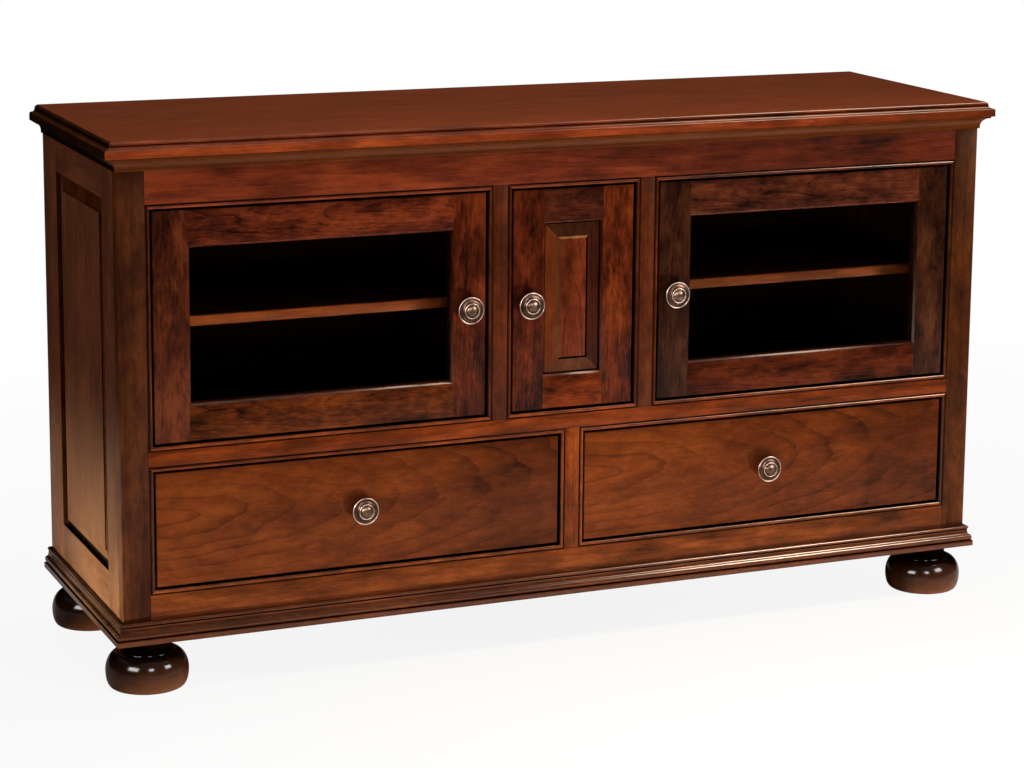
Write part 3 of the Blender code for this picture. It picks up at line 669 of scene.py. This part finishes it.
def make_mouldings(name, outline_of, colour, shaded_end_colour, blotch, shine):
    """Front, left and right lengths round the case, mitred at the front corners."""
    low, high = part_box(name + "_front")
    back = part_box(name + "_left")[1].y
    reach, height = high.y - low.y, high.z - low.z
    half = high.x - reach
    outline = outline_of(reach, height)

    def finish_length(length, node, grain, shade, out, **figure):
        """Eases and stains a length, and paints shade into the quirks of the base."""
        ease_edges(length, EASE)
        stain(length, grain, shade, blotch=blotch, pith=(0.3, 0.1), gloss=0.17, **figure)
        if name == "base":
            paint(length, DEEP_SHADE, lambda at: moulding_quirk(reach, height, out(at), at.z - low.z))
        fit(length, node)

    start = Vector((low.x - reach, high.y, low.z))
    front = length_of(name + "_front_length", outline, start, OUT, Z, 2 * (half + 2 * reach) * X)
    for hand in SIDES.values():
        saw(front, (hand * (half - HAIRLINE), high.y, low.z), (hand, 1, 0))
    finish_length(front, name + "_front", "X", colour, lambda at: high.y - at.y, shine=shine)
    BEAD_LIT.objects.link(front)
    for side, hand in SIDES.items():
        start = Vector((hand * half, low.y - reach, low.z))
        run = length_of(f"{name}_{side}_length", outline, start, hand * X, Z, (back - start.y) * Y)
        saw(run, (hand * half, high.y + HAIRLINE, low.z), (-hand, -1, 0))
        # The side lengths take a darker colour of their own, painted shade
        finish_length(run, f"{name}_{side}", "Y", shaded_end_colour, lambda at: hand * at.x - half)
        if name == "base":
            SIDE_LIT.objects.link(run)


# Face frame, with a mitred bead round every opening


# Each board's grain, its colour, and how much paler it grows along the grain, darker where negative
FACE_BOARDS = {
    "stile_left": ("Z", "#3f1d0e", 0.0),
    "stile_right": ("Z", "#4b230c", 0.0),
    "top_rail": ("X", "#602513", -0.27),
    "mid_rail": ("X", "#682b0e", -0.1),
    "bottom_rail": ("X", "#6c3416", -0.15),
    "mullion_left": ("Z", "#461c0c", 0.0),
    "mullion_right": ("Z", "#51220e", 0.0),
    "drawer_mullion": ("Z", "#763513", 0.0),
}
# Each opening's boards: left, right, below and above
OPENINGS = {
    "left_door": ("stile_left", "mullion_left", "mid_rail", "top_rail"),
    "centre_door": ("mullion_left", "mullion_right", "mid_rail", "top_rail"),
    "right_door": ("mullion_right", "stile_right", "mid_rail", "top_rail"),
    "left_drawer": ("stile_left", "drawer_mullion", "bottom_rail", "mid_rail"),
    "right_drawer": ("drawer_mullion", "stile_right", "bottom_rail", "mid_rail"),
}


def bead_outline(thickness):
    """A half-round bead with a quirk beside it, and a tongue that lies inside the board it grows from."""
    radius = (BEAD - BEAD_QUIRK) / 2
    floor = BEAD_PROUD - radius
    nose = arc((BEAD - radius, floor), (radius, radius), 0, 180, BEAD_STEPS)
    return [(-HAIRLINE, -thickness), (BEAD, -thickness), *nose, (-HAIRLINE, floor)]


def make_bead(name, corner, into, run, opening, thickness):
    """One bead along an opening's edge: corner is the edge's start, and both ends are mitred."""
    board_edge = corner - BEAD * into
    start = board_edge - 2 * BEAD * run
    bead = length_of(name, bead_outline(thickness), start, into, OUT, (opening + 4 * BEAD) * run)
    for end, way in ((corner, -1), (corner + opening * run, 1)):
        saw(bead, end - way * HAIRLINE / 2 * run, into + way * run)
        saw(bead, end + way * (BEAD - HAIRLINE) * run, way * run)
    return bead


def shade_bead(bead, corner, into, front):
    """Paints shade on the floor of the quirk and the foot of the bead, and deep painted shade on the
    bead's side in the gap.
    """

    def aside(at):
        return (at - corner).dot(into) + BEAD

    def in_quirk(at):
        return aside(at) < BEAD_FOOT and -BEAD_PROUD / 2 < at.y - front < 2 * BEAD

    paint(bead, SOFT_SHADE, in_quirk)
    paint(bead, DEEP_SHADE, lambda at: aside(at) > BEAD - BEAD_QUIRK / 2 and at.y > front + BEAD_PROUD)


def make_face_frame():
    boxes = {name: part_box(name) for name in FACE_BOARDS}
    cores = {name: [low.copy(), high.copy()] for name, (low, high) in boxes.items()}
    front = boxes["top_rail"][0].y + BEAD_PROUD
    back = boxes["top_rail"][1].y
    beads = {name: [] for name in FACE_BOARDS}
    for opening, (left, right, below, above) in OPENINGS.items():
        x_low, x_high = boxes[left][1].x, boxes[right][0].x
        z_low, z_high = boxes[below][1].z, boxes[above][0].z
        wide, tall = x_high - x_low, z_high - z_low
        sides = (
            (left, Vector((x_low, front, z_low)), X, Z, tall),
            (right, Vector((x_high, front, z_low)), -X, Z, tall),
            (below, Vector((x_low, front, z_low)), Z, X, wide),
            (above, Vector((x_low, front, z_high)), -Z, X, wide),
        )
        for owner, corner, into, run, span in sides:
            beads[owner].append((f"{owner}_{opening}_bead", corner, into, run, span))
        cores[left][1].x = x_low - BEAD
        cores[right][0].x = x_high + BEAD
        cores[below][1].z = z_low - BEAD
        cores[above][0].z = z_high + BEAD
    for name, (grain, colour, drift) in FACE_BOARDS.items():
        low, high = cores[name]
        low.y = front
        board = block(name + "_board", low, high)
        ease_edges(board, EASE / 2)
        mottle = RAIL_MOTTLE if grain == "X" else STILE_MOTTLE
        stain(board, grain, colour, pith=(0.12, 0.05), drift=drift, mottle=mottle)
        shiny = cherry(
            name + "_bead_cherry", grain, colour, middle_of(board), gloss=0.17, shine=0.3, drift=drift
        )
        runs = []
        for bead_name, corner, into, run, span in beads[name]:
            bead = make_bead(bead_name, corner, into, run, span, back - front)
            bead.data.materials.append(shiny)
            shade_bead(bead, corner, into, front)
            runs.append(bead)
        glue(board, runs)
        BEAD_LIT.objects.link(board)
        if name == "stile_left":
            SIDE_LIT.objects.link(board)
        fit(board, name)


# Stops behind the tops of the doors


def make_stops():
    low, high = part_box("top_rail")
    for opening in (side + "_door" for side in DOORS):
        left, right = OPENINGS[opening][:2]
        start = (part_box(left)[1].x + STOP_FROM_END, high.y + HAIRLINE, low.z - STOP_DROP)
        end = (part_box(right)[0].x - STOP_FROM_END, high.y + STOP_THICKNESS, low.z + STOP_SEAT)
        stop = block(opening + "_stop", start, end)
        ease_edges(stop, EASE)
        # Painted shade: the stops take the near-black of the inside
        stain(stop, "X", INSIDE_SHADE, **INSIDE_FIGURE)
        fit(stop)


# Sides


SIDE_COLOUR = "#4f2d20"
SIDE_FIGURE = {"figure": 0.12, "blotch": 0.3, "gloss": 0.30, "shine": 0.013}
# The edges of a panel, each by its axis and by which end of it
LEFT, RIGHT, FRONT, BELOW, ABOVE = (0, 0), (0, 1), (1, 0), (2, 0), (2, 1)


def make_raised_panel(name, node, body, facing, grain, colour, step_in, **figure):
    """A panel with a sloping bevel up to a raised field, its tongue in the groove of its frame."""
    low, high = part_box(node)
    rise = (PANEL_RISE + FIELD_STEP) * facing
    flat = (low, high - rise) if sum(facing) > 0 else (low - rise, high)
    panel = block(name, *flat)
    bevel = PANEL_BEVEL + FIELD_STEP_IN - step_in
    slope = PANEL_RISE / bevel
    widths = (PANEL_SHADE_STRIP, POOLED_SHADE, bevel - PANEL_SHADE_STRIP - POOLED_SHADE)
    steps = [(TONGUE, 0.0)] + [(width, slope * width) for width in widths] + [(step_in, FIELD_STEP)]
    raise_field(panel, facing, steps)
    stain(panel, grain, colour, **figure)

    def nearest(at):
        """How far in from its nearest edge a place lies, and which edge that is."""
        across = [axis for axis in range(3) if not facing[axis]]
        ends = [(at[axis] - low[axis], (axis, 0)) for axis in across]
        return min(ends + [(high[axis] - at[axis], (axis, 1)) for axis in across])

    def on_bevel(at):
        return TONGUE + PANEL_SHADE_STRIP < nearest(at)[0] < TONGUE + bevel

    def on_step(at):
        return TONGUE + bevel < nearest(at)[0] < TONGUE + bevel + step_in

    # Painted shade on the strip at the foot of the bevel and on the step up to the field
    paint(panel, DEEP_SHADE, lambda at: TONGUE < nearest(at)[0] < TONGUE + PANEL_SHADE_STRIP or on_step(at))
    fit(panel, node, body=body)
    return panel, nearest, on_bevel, on_step


def make_side(side, hand):
    """Two stiles, two rails and two shelf pegs, and the panel between them."""
    low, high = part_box("side_frame_" + side)
    panel_low, panel_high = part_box("side_panel_" + side)
    inside = low.x + PEG_LENGTH if hand > 0 else high.x - PEG_LENGTH
    x_low, x_high = sorted((inside, high.x if hand > 0 else low.x))
    tongue = Vector((0, TONGUE, TONGUE))
    sight_low, sight_high = panel_low + tongue, panel_high - tongue
    boards = {
        "front_stile": ((low.y, sight_low.y), (low.z, high.z), "Z"),
        "back_stile": ((sight_high.y, high.y), (low.z, high.z), "Z"),
        "top_rail": ((sight_low.y, sight_high.y), (sight_high.z, high.z), "Y"),
        "bottom_rail": ((sight_low.y, sight_high.y), (low.z, sight_low.z), "Y"),
    }
    for number, (name, (y_span, z_span, grain)) in enumerate(boards.items()):
        ends = zip((x_low, x_high), y_span, z_span)
        board = block(f"side_{side}_{name}", *ends)
        ease_edges(board, EASE)
        stain(board, grain, SIDE_COLOUR, pith=(0.3 + 0.1 * number, 0.1), **SIDE_FIGURE)
        across = 1 if grain == "Z" else 2
        edges = sight_low[across] - HAIRLINE, sight_high[across] + HAIRLINE
        # Painted shade on the boards' inner edges round the panel: near-black, and softer on the back
        # stile
        dark = SOFT_SHADE if name == "back_stile" else DEEP_SHADE
        paint(board, dark, lambda at: edges[0] < at[across] < edges[1])
        SIDE_LIT.objects.link(board)
        fit(board, *(["side_frame_" + side] if number == 0 else []))
    panel, nearest, on_bevel, _ = make_raised_panel(
        f"side_{side}_panel", "side_panel_" + side, "case", hand * X, "Z", SIDE_COLOUR,
        FIELD_STEP_IN, **SIDE_FIGURE,
    )
    # Painted shade on the front and upper bevels, and deep painted shade at the foot of the lower bevel
    paint(panel, SOFT_SHADE, lambda at: on_bevel(at) and nearest(at)[1] in (FRONT, ABOVE))
    foot = TONGUE + PANEL_SHADE_STRIP + POOLED_SHADE
    paint(panel, DEEP_SHADE, lambda at: on_bevel(at) and nearest(at)[1] == BELOW and nearest(at)[0] < foot)
    SIDE_LIT.objects.link(panel)
    shelf_low, shelf_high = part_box("shelf_" + side)
    for row, y in (("front", shelf_low.y + PEG_FROM_FRONT), ("back", shelf_high.y - PEG_FROM_BACK)):
        seat = Vector((inside, y, shelf_low.z - HAIRLINE - PEG_RADIUS))
        profile = [(0, -EASE), (PEG_RADIUS, -EASE), (PEG_RADIUS, PEG_LENGTH - EASE), (0, PEG_LENGTH)]
        peg = turn(f"shelf_peg_{side}_{row}", profile, seat, -hand * X, Z, DRILL_SIDES)
        peg.data.materials.append(BRONZE)
        fit(peg, slot="hinge_steel")


# Feet


def make_feet():
    """Bun feet: a neck under the case, a low ring, a fat bun that is widest low down, and a flat sole."""
    lacquer = foot_lacquer_and_shade(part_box("foot_front_left")[1].z)
    for row in ("front", "back"):
        for side in SIDES:
            node = f"foot_{row}_{side}"
            low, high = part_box(node)
            centre = (low + high) / 2
            centre.z = low.z
            radius = (high.x - low.x) / 2
            top = high.z - low.z
            bun_top = top - FOOT_NECK_HEIGHT
            ring_top = bun_top + FOOT_RING
            profile = [(0, top), (FOOT_NECK, top), (FOOT_NECK, ring_top)]
            profile += [(FOOT_SHOULDER - FOOT_RING, ring_top)]
            profile += arc((FOOT_SHOULDER - FOOT_RING, bun_top), (FOOT_RING, FOOT_RING), 90, 0, 4)
            swell = (radius - FOOT_SHOULDER, bun_top - FOOT_WIDEST)
            profile += arc((FOOT_SHOULDER, FOOT_WIDEST), swell, 90, 0, 2 * ARC_STEPS)[1:]
            profile += arc((FOOT_SOLE, FOOT_WIDEST), (radius - FOOT_SOLE, FOOT_WIDEST), 0, -90)[1:]
            profile += [(0, 0)]
            foot = turn(f"bun_{row}_{side}", profile, centre, Z, X, FOOT_STEPS)
            foot.data.materials.append(lacquer)
            # Deep painted shade on the neck above the ring
            paint(foot, DEEP_SHADE, lambda at: at.z > low.z + ring_top)
            SPOT_LIT.objects.link(foot)
            fit(foot, node, slot="dark_cherry")


# Shelves


LIPPING_COLOURS = {"left": "#6e3212", "right": "#5c2a10"}


def make_shelves():
    """Shelf boards in the inside's near-black painted shade, with a paler lipping of solid wood along the
    front edge.
    """
    for side in SIDES:
        low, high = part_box("shelf_" + side)
        board = block(f"{side}_shelf_board", (low.x, low.y + SHELF_LIPPING, low.z), high)
        ease_edges(board, EASE)
        stain(board, "X", INSIDE_SHADE, **INSIDE_FIGURE)
        fit(board, "shelf_" + side)
        lipping = block(f"{side}_shelf_lipping", low, (high.x, low.y + SHELF_LIPPING, high.z))
        ease_edges(lipping, 2 * EASE, 3)
        stain(lipping, "X", LIPPING_COLOURS[side], figure=0.1, blotch=0.3, pith=(0.2, 0.05))
        fit(lipping)


# Knobs


def make_knob(owner):
    """Stem, flared back, thin outer rim, a hollow rising to an inner ring, and a domed button."""
    node = owner + "_knob"
    low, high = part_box(node)
    radius = (high.x - low.x) / 2
    centre = (low + high) / 2
    centre.y = high.y
    top = high.y - low.y
    ring = KNOB_RING_RADIUS
    button = ring - KNOB_LIP - KNOB_GROOVE
    ring_top = top - KNOB_BUTTON_RISE
    rim_top = ring_top - KNOB_HOLLOW
    lip = KNOB_LIP / 2
    profile = arc((0, ring_top - KNOB_GROOVE), (button, KNOB_BUTTON_RISE + KNOB_GROOVE), 90, 0)
    profile += [(ring - KNOB_LIP, ring_top - KNOB_GROOVE)]
    profile += arc((ring - lip, ring_top - lip), (lip, lip), 180, 0, 6)
    hollow = (radius - KNOB_LIP - ring, ring_top - rim_top)
    profile += arc((radius - KNOB_LIP, ring_top - lip), hollow, 180, 270, 8)[1:]
    profile += arc((radius - lip, rim_top - lip), (lip, lip), 180, 0, 6)
    profile += [(radius, rim_top - 2 * lip), (radius - lip, rim_top - 3 * lip)]
    flare = (radius - lip - KNOB_STEM, rim_top - 3 * lip - KNOB_STEM_LENGTH / 2)
    profile += arc((radius - lip, KNOB_STEM_LENGTH / 2), flare, 90, 180, 8)[1:]
    profile += [(KNOB_STEM, 0), (0, 0)]
    knob = turn(owner + "_pull", profile, centre, OUT, X, KNOB_STEPS)
    knob.data.materials.append(BRONZE)

    def from_axis(at):
        return math.hypot(at.x - centre.x, at.z - centre.z)

    def on_rim(at):
        outer = abs(from_axis(at) - radius + lip) < lip and centre.y - at.y > rim_top - KNOB_LIP
        return outer or abs(from_axis(at) - ring + lip) < lip and centre.y - at.y > ring_top - KNOB_LIP

    def in_hollow(at):
        in_groove = button < from_axis(at) < ring - KNOB_LIP
        in_dish = ring < from_axis(at) < radius - KNOB_LIP
        return centre.y - at.y > rim_top - KNOB_LIP and (in_groove or in_dish)

    paint(knob, RUBBED_BRONZE, on_rim)
    paint(knob, DARK_BRONZE, in_hollow)
    SPOT_LIT.objects.link(knob)
    fit(knob, node, body=owner, slot="bronze")


# Doors


def stile_outline(width, thickness, glazed_door):
    """Across a door's stile or rail: outer edge at 0, sight edge at width, depth going back."""
    front = arc((DOOR_EASE, DOOR_EASE), (DOOR_EASE, DOOR_EASE), 180, 270, 4)
    points = [(0, thickness), *front, (width - STICKING, 0), (width, STICKING)]
    if glazed_door:
        points += [(width, GLASS_LIP), (width - RABBET, GLASS_LIP), (width - RABBET, thickness)]
    else:
        groove = PANEL_LIP + PANEL_GROOVE
        points += [(width, PANEL_LIP), (width - TONGUE, PANEL_LIP), (width - TONGUE, groove)]
        points += [(width, groove), (width, thickness)]
    return points


# The colours of each door's left stile, right stile, bottom rail and top rail
DOOR_BOARDS = {
    "left": ("#461d0f", "#4b1c0c", "#4c200b", "#542010"),
    "centre": ("#491a0b", "#57210d", "#5d230b", "#3d180d"),
    "right": ("#30160c", "#391c0f", "#42180a", "#4c2214"),
}
# How much paler some door boards grow, going up
DOOR_DRIFTS = {"left_door_right_stile": 1.0, "centre_door_left_stile": 1.0}


def make_door_frame(side, width, glazed_door, hinge_hand):
    """Two stiles of the full height with two rails coped between them, and holes for the pivot pins."""
    node = side + "_door_frame"
    low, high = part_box(node)
    body = side + "_door"
    wide, tall = high.x - low.x, high.z - low.z
    outline = stile_outline(width, high.y - low.y, glazed_door)
    joint = width - STICKING
    rail = (wide - 2 * joint) * X
    lengths = {
        "left_stile": (low, X, tall * Z, "Z"),
        "right_stile": (low + wide * X, -X, tall * Z, "Z"),
        "bottom_rail": (low + joint * X, Z, rail, "X"),
        "top_rail": (low + joint * X + tall * Z, -Z, rail, "X"),
    }
    hinge_stile = "left_stile" if hinge_hand < 0 else "right_stile"
    pin = next(j for j in frame["joints"] if j["name"] == body + "_hinge")["pos_m"]
    for number, (name, (start, into, run, grain)) in enumerate(lengths.items()):
        board = length_of(f"{side}_door_{name}", outline, start, into, Y, run)
        ease_edges(board, EASE / 2)
        if name == hinge_stile:
            for z in (low.z, high.z):
                drill(board, (pin[0], pin[1], z), PIN_HOLE_RADIUS, PIN_HOLE_DEPTH)
        colour = DOOR_BOARDS[side][number]
        stain(
            board, grain, colour, rings=0.006, figure=0.2, swirl=14.0, blotch=0.95,
            pith=(0.02, 0.02), tilt=0.3, stretch=0.25, drift=DOOR_DRIFTS.get(board.name, 0.0),
        )
        shiny = cherry(board.name + "_sticking", grain, colour, low, gloss=0.2, shine=0.6)
        sight = start.dot(into) + width
        paint(board, shiny, lambda at: 0 < sight - at.dot(into) < STICKING and at.y < low.y + STICKING)
        fit(board, *([node] if number == 0 else []), body=body)


# Painted light and shade on the centre panel's bevels and on the step up to its field, by their edge
BEVEL_LIGHT_AND_SHADE = {LEFT: "#5a2811", RIGHT: "#36150b", BELOW: "#522d18", ABOVE: "#361a0d"}
STEP_LIGHT_AND_SHADE = {LEFT: "#482c18", ABOVE: "#8a5a34"}


def make_centre_panel():
    panel, nearest, on_bevel, on_step = make_raised_panel(
        "centre_door_raised_panel", "centre_door_panel", "centre_door", OUT, "Z", "#5b2411", WIDE_STEP_IN,
        figure=0.2, swirl=12.0, blotch=0.7, pith=(0.01, 0.0), tilt=0.4, stretch=0.2,
    )
    for part, colours, on_part in (("bevel", BEVEL_LIGHT_AND_SHADE, on_bevel), ("step", STEP_LIGHT_AND_SHADE, on_step)):
        for edge, colour in colours.items():
            name = f"centre_{part}_cherry"
            shade = cherry(name, "Z", colour, middle_of(panel), blotch=0.4, gloss=0.28)
            paint(panel, shade, lambda at: on_part(at) and nearest(at)[1] == edge)


def make_doors():
    for side, hand in SIDES.items():
        make_door_frame(side, GLASS_DOOR_FRAME, True, hand)
    make_door_frame("centre", PANEL_DOOR_FRAME, False, 1)
    make_centre_panel()
    for side in DOORS:
        make_knob(side + "_door")


# Drawers


def make_drawers():
    for side in SIDES:
        node = side + "_drawer_front"
        board = block(side + "_drawer_face", *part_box(node))
        ease_edges(board, DOOR_EASE, 3)
        stain(
            board, "X", "#5e2a10", rings=0.017, figure=0.14, swirl=4.0, blotch=0.4,
            pith=(-0.115, 0.02), tilt=0.8, stretch=0.3, waver=1.5, drift=-0.45,
        )
        fit(board, node, body=side + "_drawer")
        make_knob(side + "_drawer")


# Pieces that stay as the frame has them, with their finishes


def dress(node, material):
    data = frame["nodes"][node].data
    data.materials.clear()
    data.materials.append(material)


def dress_inside():
    inner = {
        "bottom_deck": "X",
        "mid_deck": "X",
        "drawer_divider": "Y",
        "partition_left": "Z",
        "partition_right": "Z",
        "left_glass_stop": "X",
        "right_glass_stop": "X",
    }
    # The inner boards take the inside's near-black, painted shade
    for node, grain in inner.items():
        low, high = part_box(node)
        dress(node, cherry(node + "_cherry", grain, INSIDE_SHADE, (low + high) / 2, **INSIDE_FIGURE))
    low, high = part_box("back_panel")
    dress("back_panel", back_board(low.y, high.y))
    BACK_LIT.objects.link(frame["nodes"]["back_panel"])
    pale = {grain: drawer_wood(grain) for grain in "XY"}
    glass = pane_glass()
    for side in SIDES:
        dress(side + "_drawer_box", pale["Y"])
        dress(side + "_drawer_bottom", pale["X"])
        for place in ("outer", "inner"):
            dress(f"{side}_runner_{place}", pale["Y"])
        dress(side + "_door_glass", glass)
    steel = hinge_steel()
    for side in DOORS:
        for level in ("lower", "upper"):
            dress(f"{side}_hinge_{level}", steel)


# Floor, light and camera

IMAGE_WIDTH = 1024
FOCAL_PIXELS = 2826.2
SENSOR = 36.0
CAMERA_PLACE = Vector((-1.8002, -4.2519, 1.4420))
CAMERA_YAW = math.radians(24.566)
CAMERA_PITCH = math.radians(10.573)
CAMERA_ROLL = math.radians(0.773)
CAMERA_SHIFT = (-0.0859, -0.1133)
FLOOR_SIZE = 80.0
# One over the reach of the painted pool of light round the object, across and deep, beyond which the
# floor is dark
PAINTED_POOL_SCALE = (1 / 3.2, 1 / 2.2, 1.0)
# How much of the shaded floor shows through the white near the object
SHADOW_SHARE = 0.12
# How much smaller the painted pool of light is in the panes' mirror images
PANE_DIMMING = 0.75
WHITE = (1, 1, 1, 1)
BLACK = (0, 0, 0, 1)
SKY_COLOUR = (1, 0.98, 0.95, 1)
SKY_STRENGTH = 0.5


def make_camera():
    sin_yaw, cos_yaw = math.sin(CAMERA_YAW), math.cos(CAMERA_YAW)
    sin_pitch, cos_pitch = math.sin(CAMERA_PITCH), math.cos(CAMERA_PITCH)
    forward = Vector((sin_yaw * cos_pitch, cos_yaw * cos_pitch, -sin_pitch))
    level = Vector((cos_yaw, -sin_yaw, 0))
    upright = level.cross(forward)
    right = math.cos(CAMERA_ROLL) * level + math.sin(CAMERA_ROLL) * upright
    up = -math.sin(CAMERA_ROLL) * level + math.cos(CAMERA_ROLL) * upright
    bpy.ops.object.camera_add(location=CAMERA_PLACE)
    camera = bpy.context.object
    turned = Matrix((right, up, -forward)).transposed().to_4x4()
    camera.matrix_world = Matrix.Translation(CAMERA_PLACE) @ turned
    camera.data.sensor_width = SENSOR
    camera.data.lens = FOCAL_PIXELS * SENSOR / IMAGE_WIDTH
    camera.data.shift_x, camera.data.shift_y = CAMERA_SHIFT
    bpy.context.scene.camera = camera


def make_floor():
    pick()
    bpy.ops.mesh.primitive_plane_add(size=FLOOR_SIZE)
    floor = settle("floor")
    paper = Finish("white_floor")
    # A pool of light painted into the floor's colour, pale near the object and dark far off, seen in
    # gloss; the camera sees the floor nearly white
    painted_pool = paper.add("ShaderNodeTexGradient", gradient_type="SPHERICAL")
    paper.fill(painted_pool, Vector=paper.placed(PAINTED_POOL_SCALE))
    in_panes = paper.maths("MULTIPLY_ADD", paper.light_path()["Is Singular Ray"], -PANE_DIMMING, 1.0)
    lit = paper.maths("MULTIPLY", painted_pool.outputs["Fac"], in_panes)
    grey = paper.ramp(lit, (0.15, "#161616"), (0.45, "#e8e8e8"))
    paper.set(Base_Color=grey, Roughness=0.9, Specular_IOR_Level=0.0)
    glow = paper.add("ShaderNodeEmission")
    paper.fill(glow, Color=WHITE)
    whiteness = paper.maths("MULTIPLY_ADD", painted_pool.outputs["Fac"], -SHADOW_SHARE, 1.0)
    paper.show_mix(paper.maths("MULTIPLY", paper.seen_straight(), whiteness), paper.shader, glow)
    floor.data.materials.append(paper.material)
    floor.visible_shadow = False


def make_world():
    """Soft light from overhead, and plain white for what the camera sees."""
    world = bpy.data.worlds.new("studio")
    bpy.context.scene.world = world
    sky = Nodes(world, "World Output", "Generated")
    soft = sky.add("ShaderNodeBackground")
    overhead = sky.ramp(sky.along("Z"), (0.5, BLACK), (1.0, SKY_COLOUR))
    sky.fill(soft, Color=overhead, Strength=SKY_STRENGTH)
    white = sky.tree.nodes["Background"]
    sky.fill(white, Color=WHITE)
    sky.show_mix(sky.seen_straight(), soft, white)


def make_lamp(kind, name, place, target, power):
    """A lamp that faces a target."""
    bpy.ops.object.light_add(type=kind, location=place)
    lamp = bpy.context.object
    lamp.name = name
    lamp.data.energy = power
    lamp.rotation_euler = (Vector(target) - Vector(place)).to_track_quat("-Z", "Y").to_euler()
    return lamp


# The middle of the object, which most lamps face
MIDDLE = (0.0, 0.0, 0.40)


def softbox(name, place, size, watts, target=MIDDLE, colour=WHITE[:3], spread=180, lights=None):
    """A lamp that faces a target and doesn't show through the panes.

    Size is its width and height, and spread is in degrees. Given a collection, it lights only that.
    """
    lamp = make_lamp("AREA", name, place, target, watts)
    lamp.data.shape = "RECTANGLE"
    lamp.data.size, lamp.data.size_y = size
    lamp.data.color = colour
    lamp.data.spread = math.radians(spread)
    lamp.visible_transmission = False
    lamp.light_linking.receiver_collection = lights
    return lamp


def fill_light(name, place, **settings):
    """A softbox that lights surfaces but doesn't show in their gloss."""
    softbox(name, place, **settings).visible_glossy = False


def gloss_light(name, place, size, radiance, **settings):
    """A softbox that only shows in gloss."""
    watts = math.pi * size[0] * size[1] * radiance
    softbox(name, place, size, watts, **settings).visible_diffuse = False


# Softboxes that show in the feet and the knobs: place and size
SPOTS = {
    "left_spot": ((-3.8, -2.2, 2.0), (2.0, 1.2)),
    "back_spot": ((-1.0, -6.4, 3.2), (1.4, 1.4)),
    "right_spot": ((1.8, -2.3, 1.6), (1.0, 0.9)),
}
SPOT_RADIANCE = 32.0
EDGE_RADIANCE = 11.0
GLINT_COLOUR = (1.0, 0.78, 0.57)
BEAD_RADIANCE = 52.0
LOW_SUN = (0.55, -0.6, -0.6)
LOW_SUN_STRENGTH = 2.75
LOW_SUN_WIDTH = math.radians(12)


def make_lights():
    fill_light("front_strip", (-1.2, -4.6, 0.40), size=(3.0, 0.5), watts=19)
    fill_light("overhead", (0.2, 0.6, 3.4), size=(1.6, 1.6), watts=31)
    fill_light(
        "left_fill", (-3.0, 0.0, 0.6), target=(-0.73, 0.0, 0.6), size=(1.0, 1.0), watts=26,
        colour=(1.0, 0.84, 0.64), lights=SIDE_LIT,
    )
    fill_light(
        "low_left", (-1.9, -0.08, -0.2), target=(-0.73, -0.08, 0.07), size=(0.5, 0.1), watts=3.9,
        colour=(0.78, 1.0, 0.70), spread=32, lights=SIDE_LIT,
    )
    fill_light(
        "front_pool", (0.4, -1.0, 2.4), target=(0.4, -0.95, 0.0), size=(2.2, 0.5), watts=14,
        colour=(1.0, 0.86, 0.72), spread=60,
    )
    fill_light("back_light", (0.4, 3.4, 0.42), size=(2.0, 0.7), watts=90, lights=BACK_LIT)
    gloss_light("edge_light", (1.75, -0.6, 3.2), (1.2, 1.0), EDGE_RADIANCE, colour=GLINT_COLOUR)
    gloss_light(
        "bead_light", (2.25, -1.3, 2.2), (1.2, 1.4), BEAD_RADIANCE,
        target=(0.5, -0.25, 0.15), colour=GLINT_COLOUR, lights=BEAD_LIT,
    )
    for name, (place, size) in SPOTS.items():
        gloss_light(name, place, size, SPOT_RADIANCE, lights=SPOT_LIT)
    low_sun = make_lamp("SUN", "low_sun", LOW_SUN, (0, 0, 0), LOW_SUN_STRENGTH)
    low_sun.data.angle = LOW_SUN_WIDTH
    low_sun.visible_glossy = False


make_top()
make_mouldings("cove", cove_outline, "#56290f", "#341709", blotch=0.15, shine=0.15)
make_mouldings("base", base_outline, "#56280f", "#2a150c", blotch=0.4, shine=0.5)
make_face_frame()
make_stops()
for side, hand in SIDES.items():
    make_side(side, hand)
make_feet()
make_shelves()
make_doors()
make_drawers()
dress_inside()
make_floor()
make_world()
make_lights()
make_camera()

bpy.context.scene.view_settings.view_transform = "Standard"
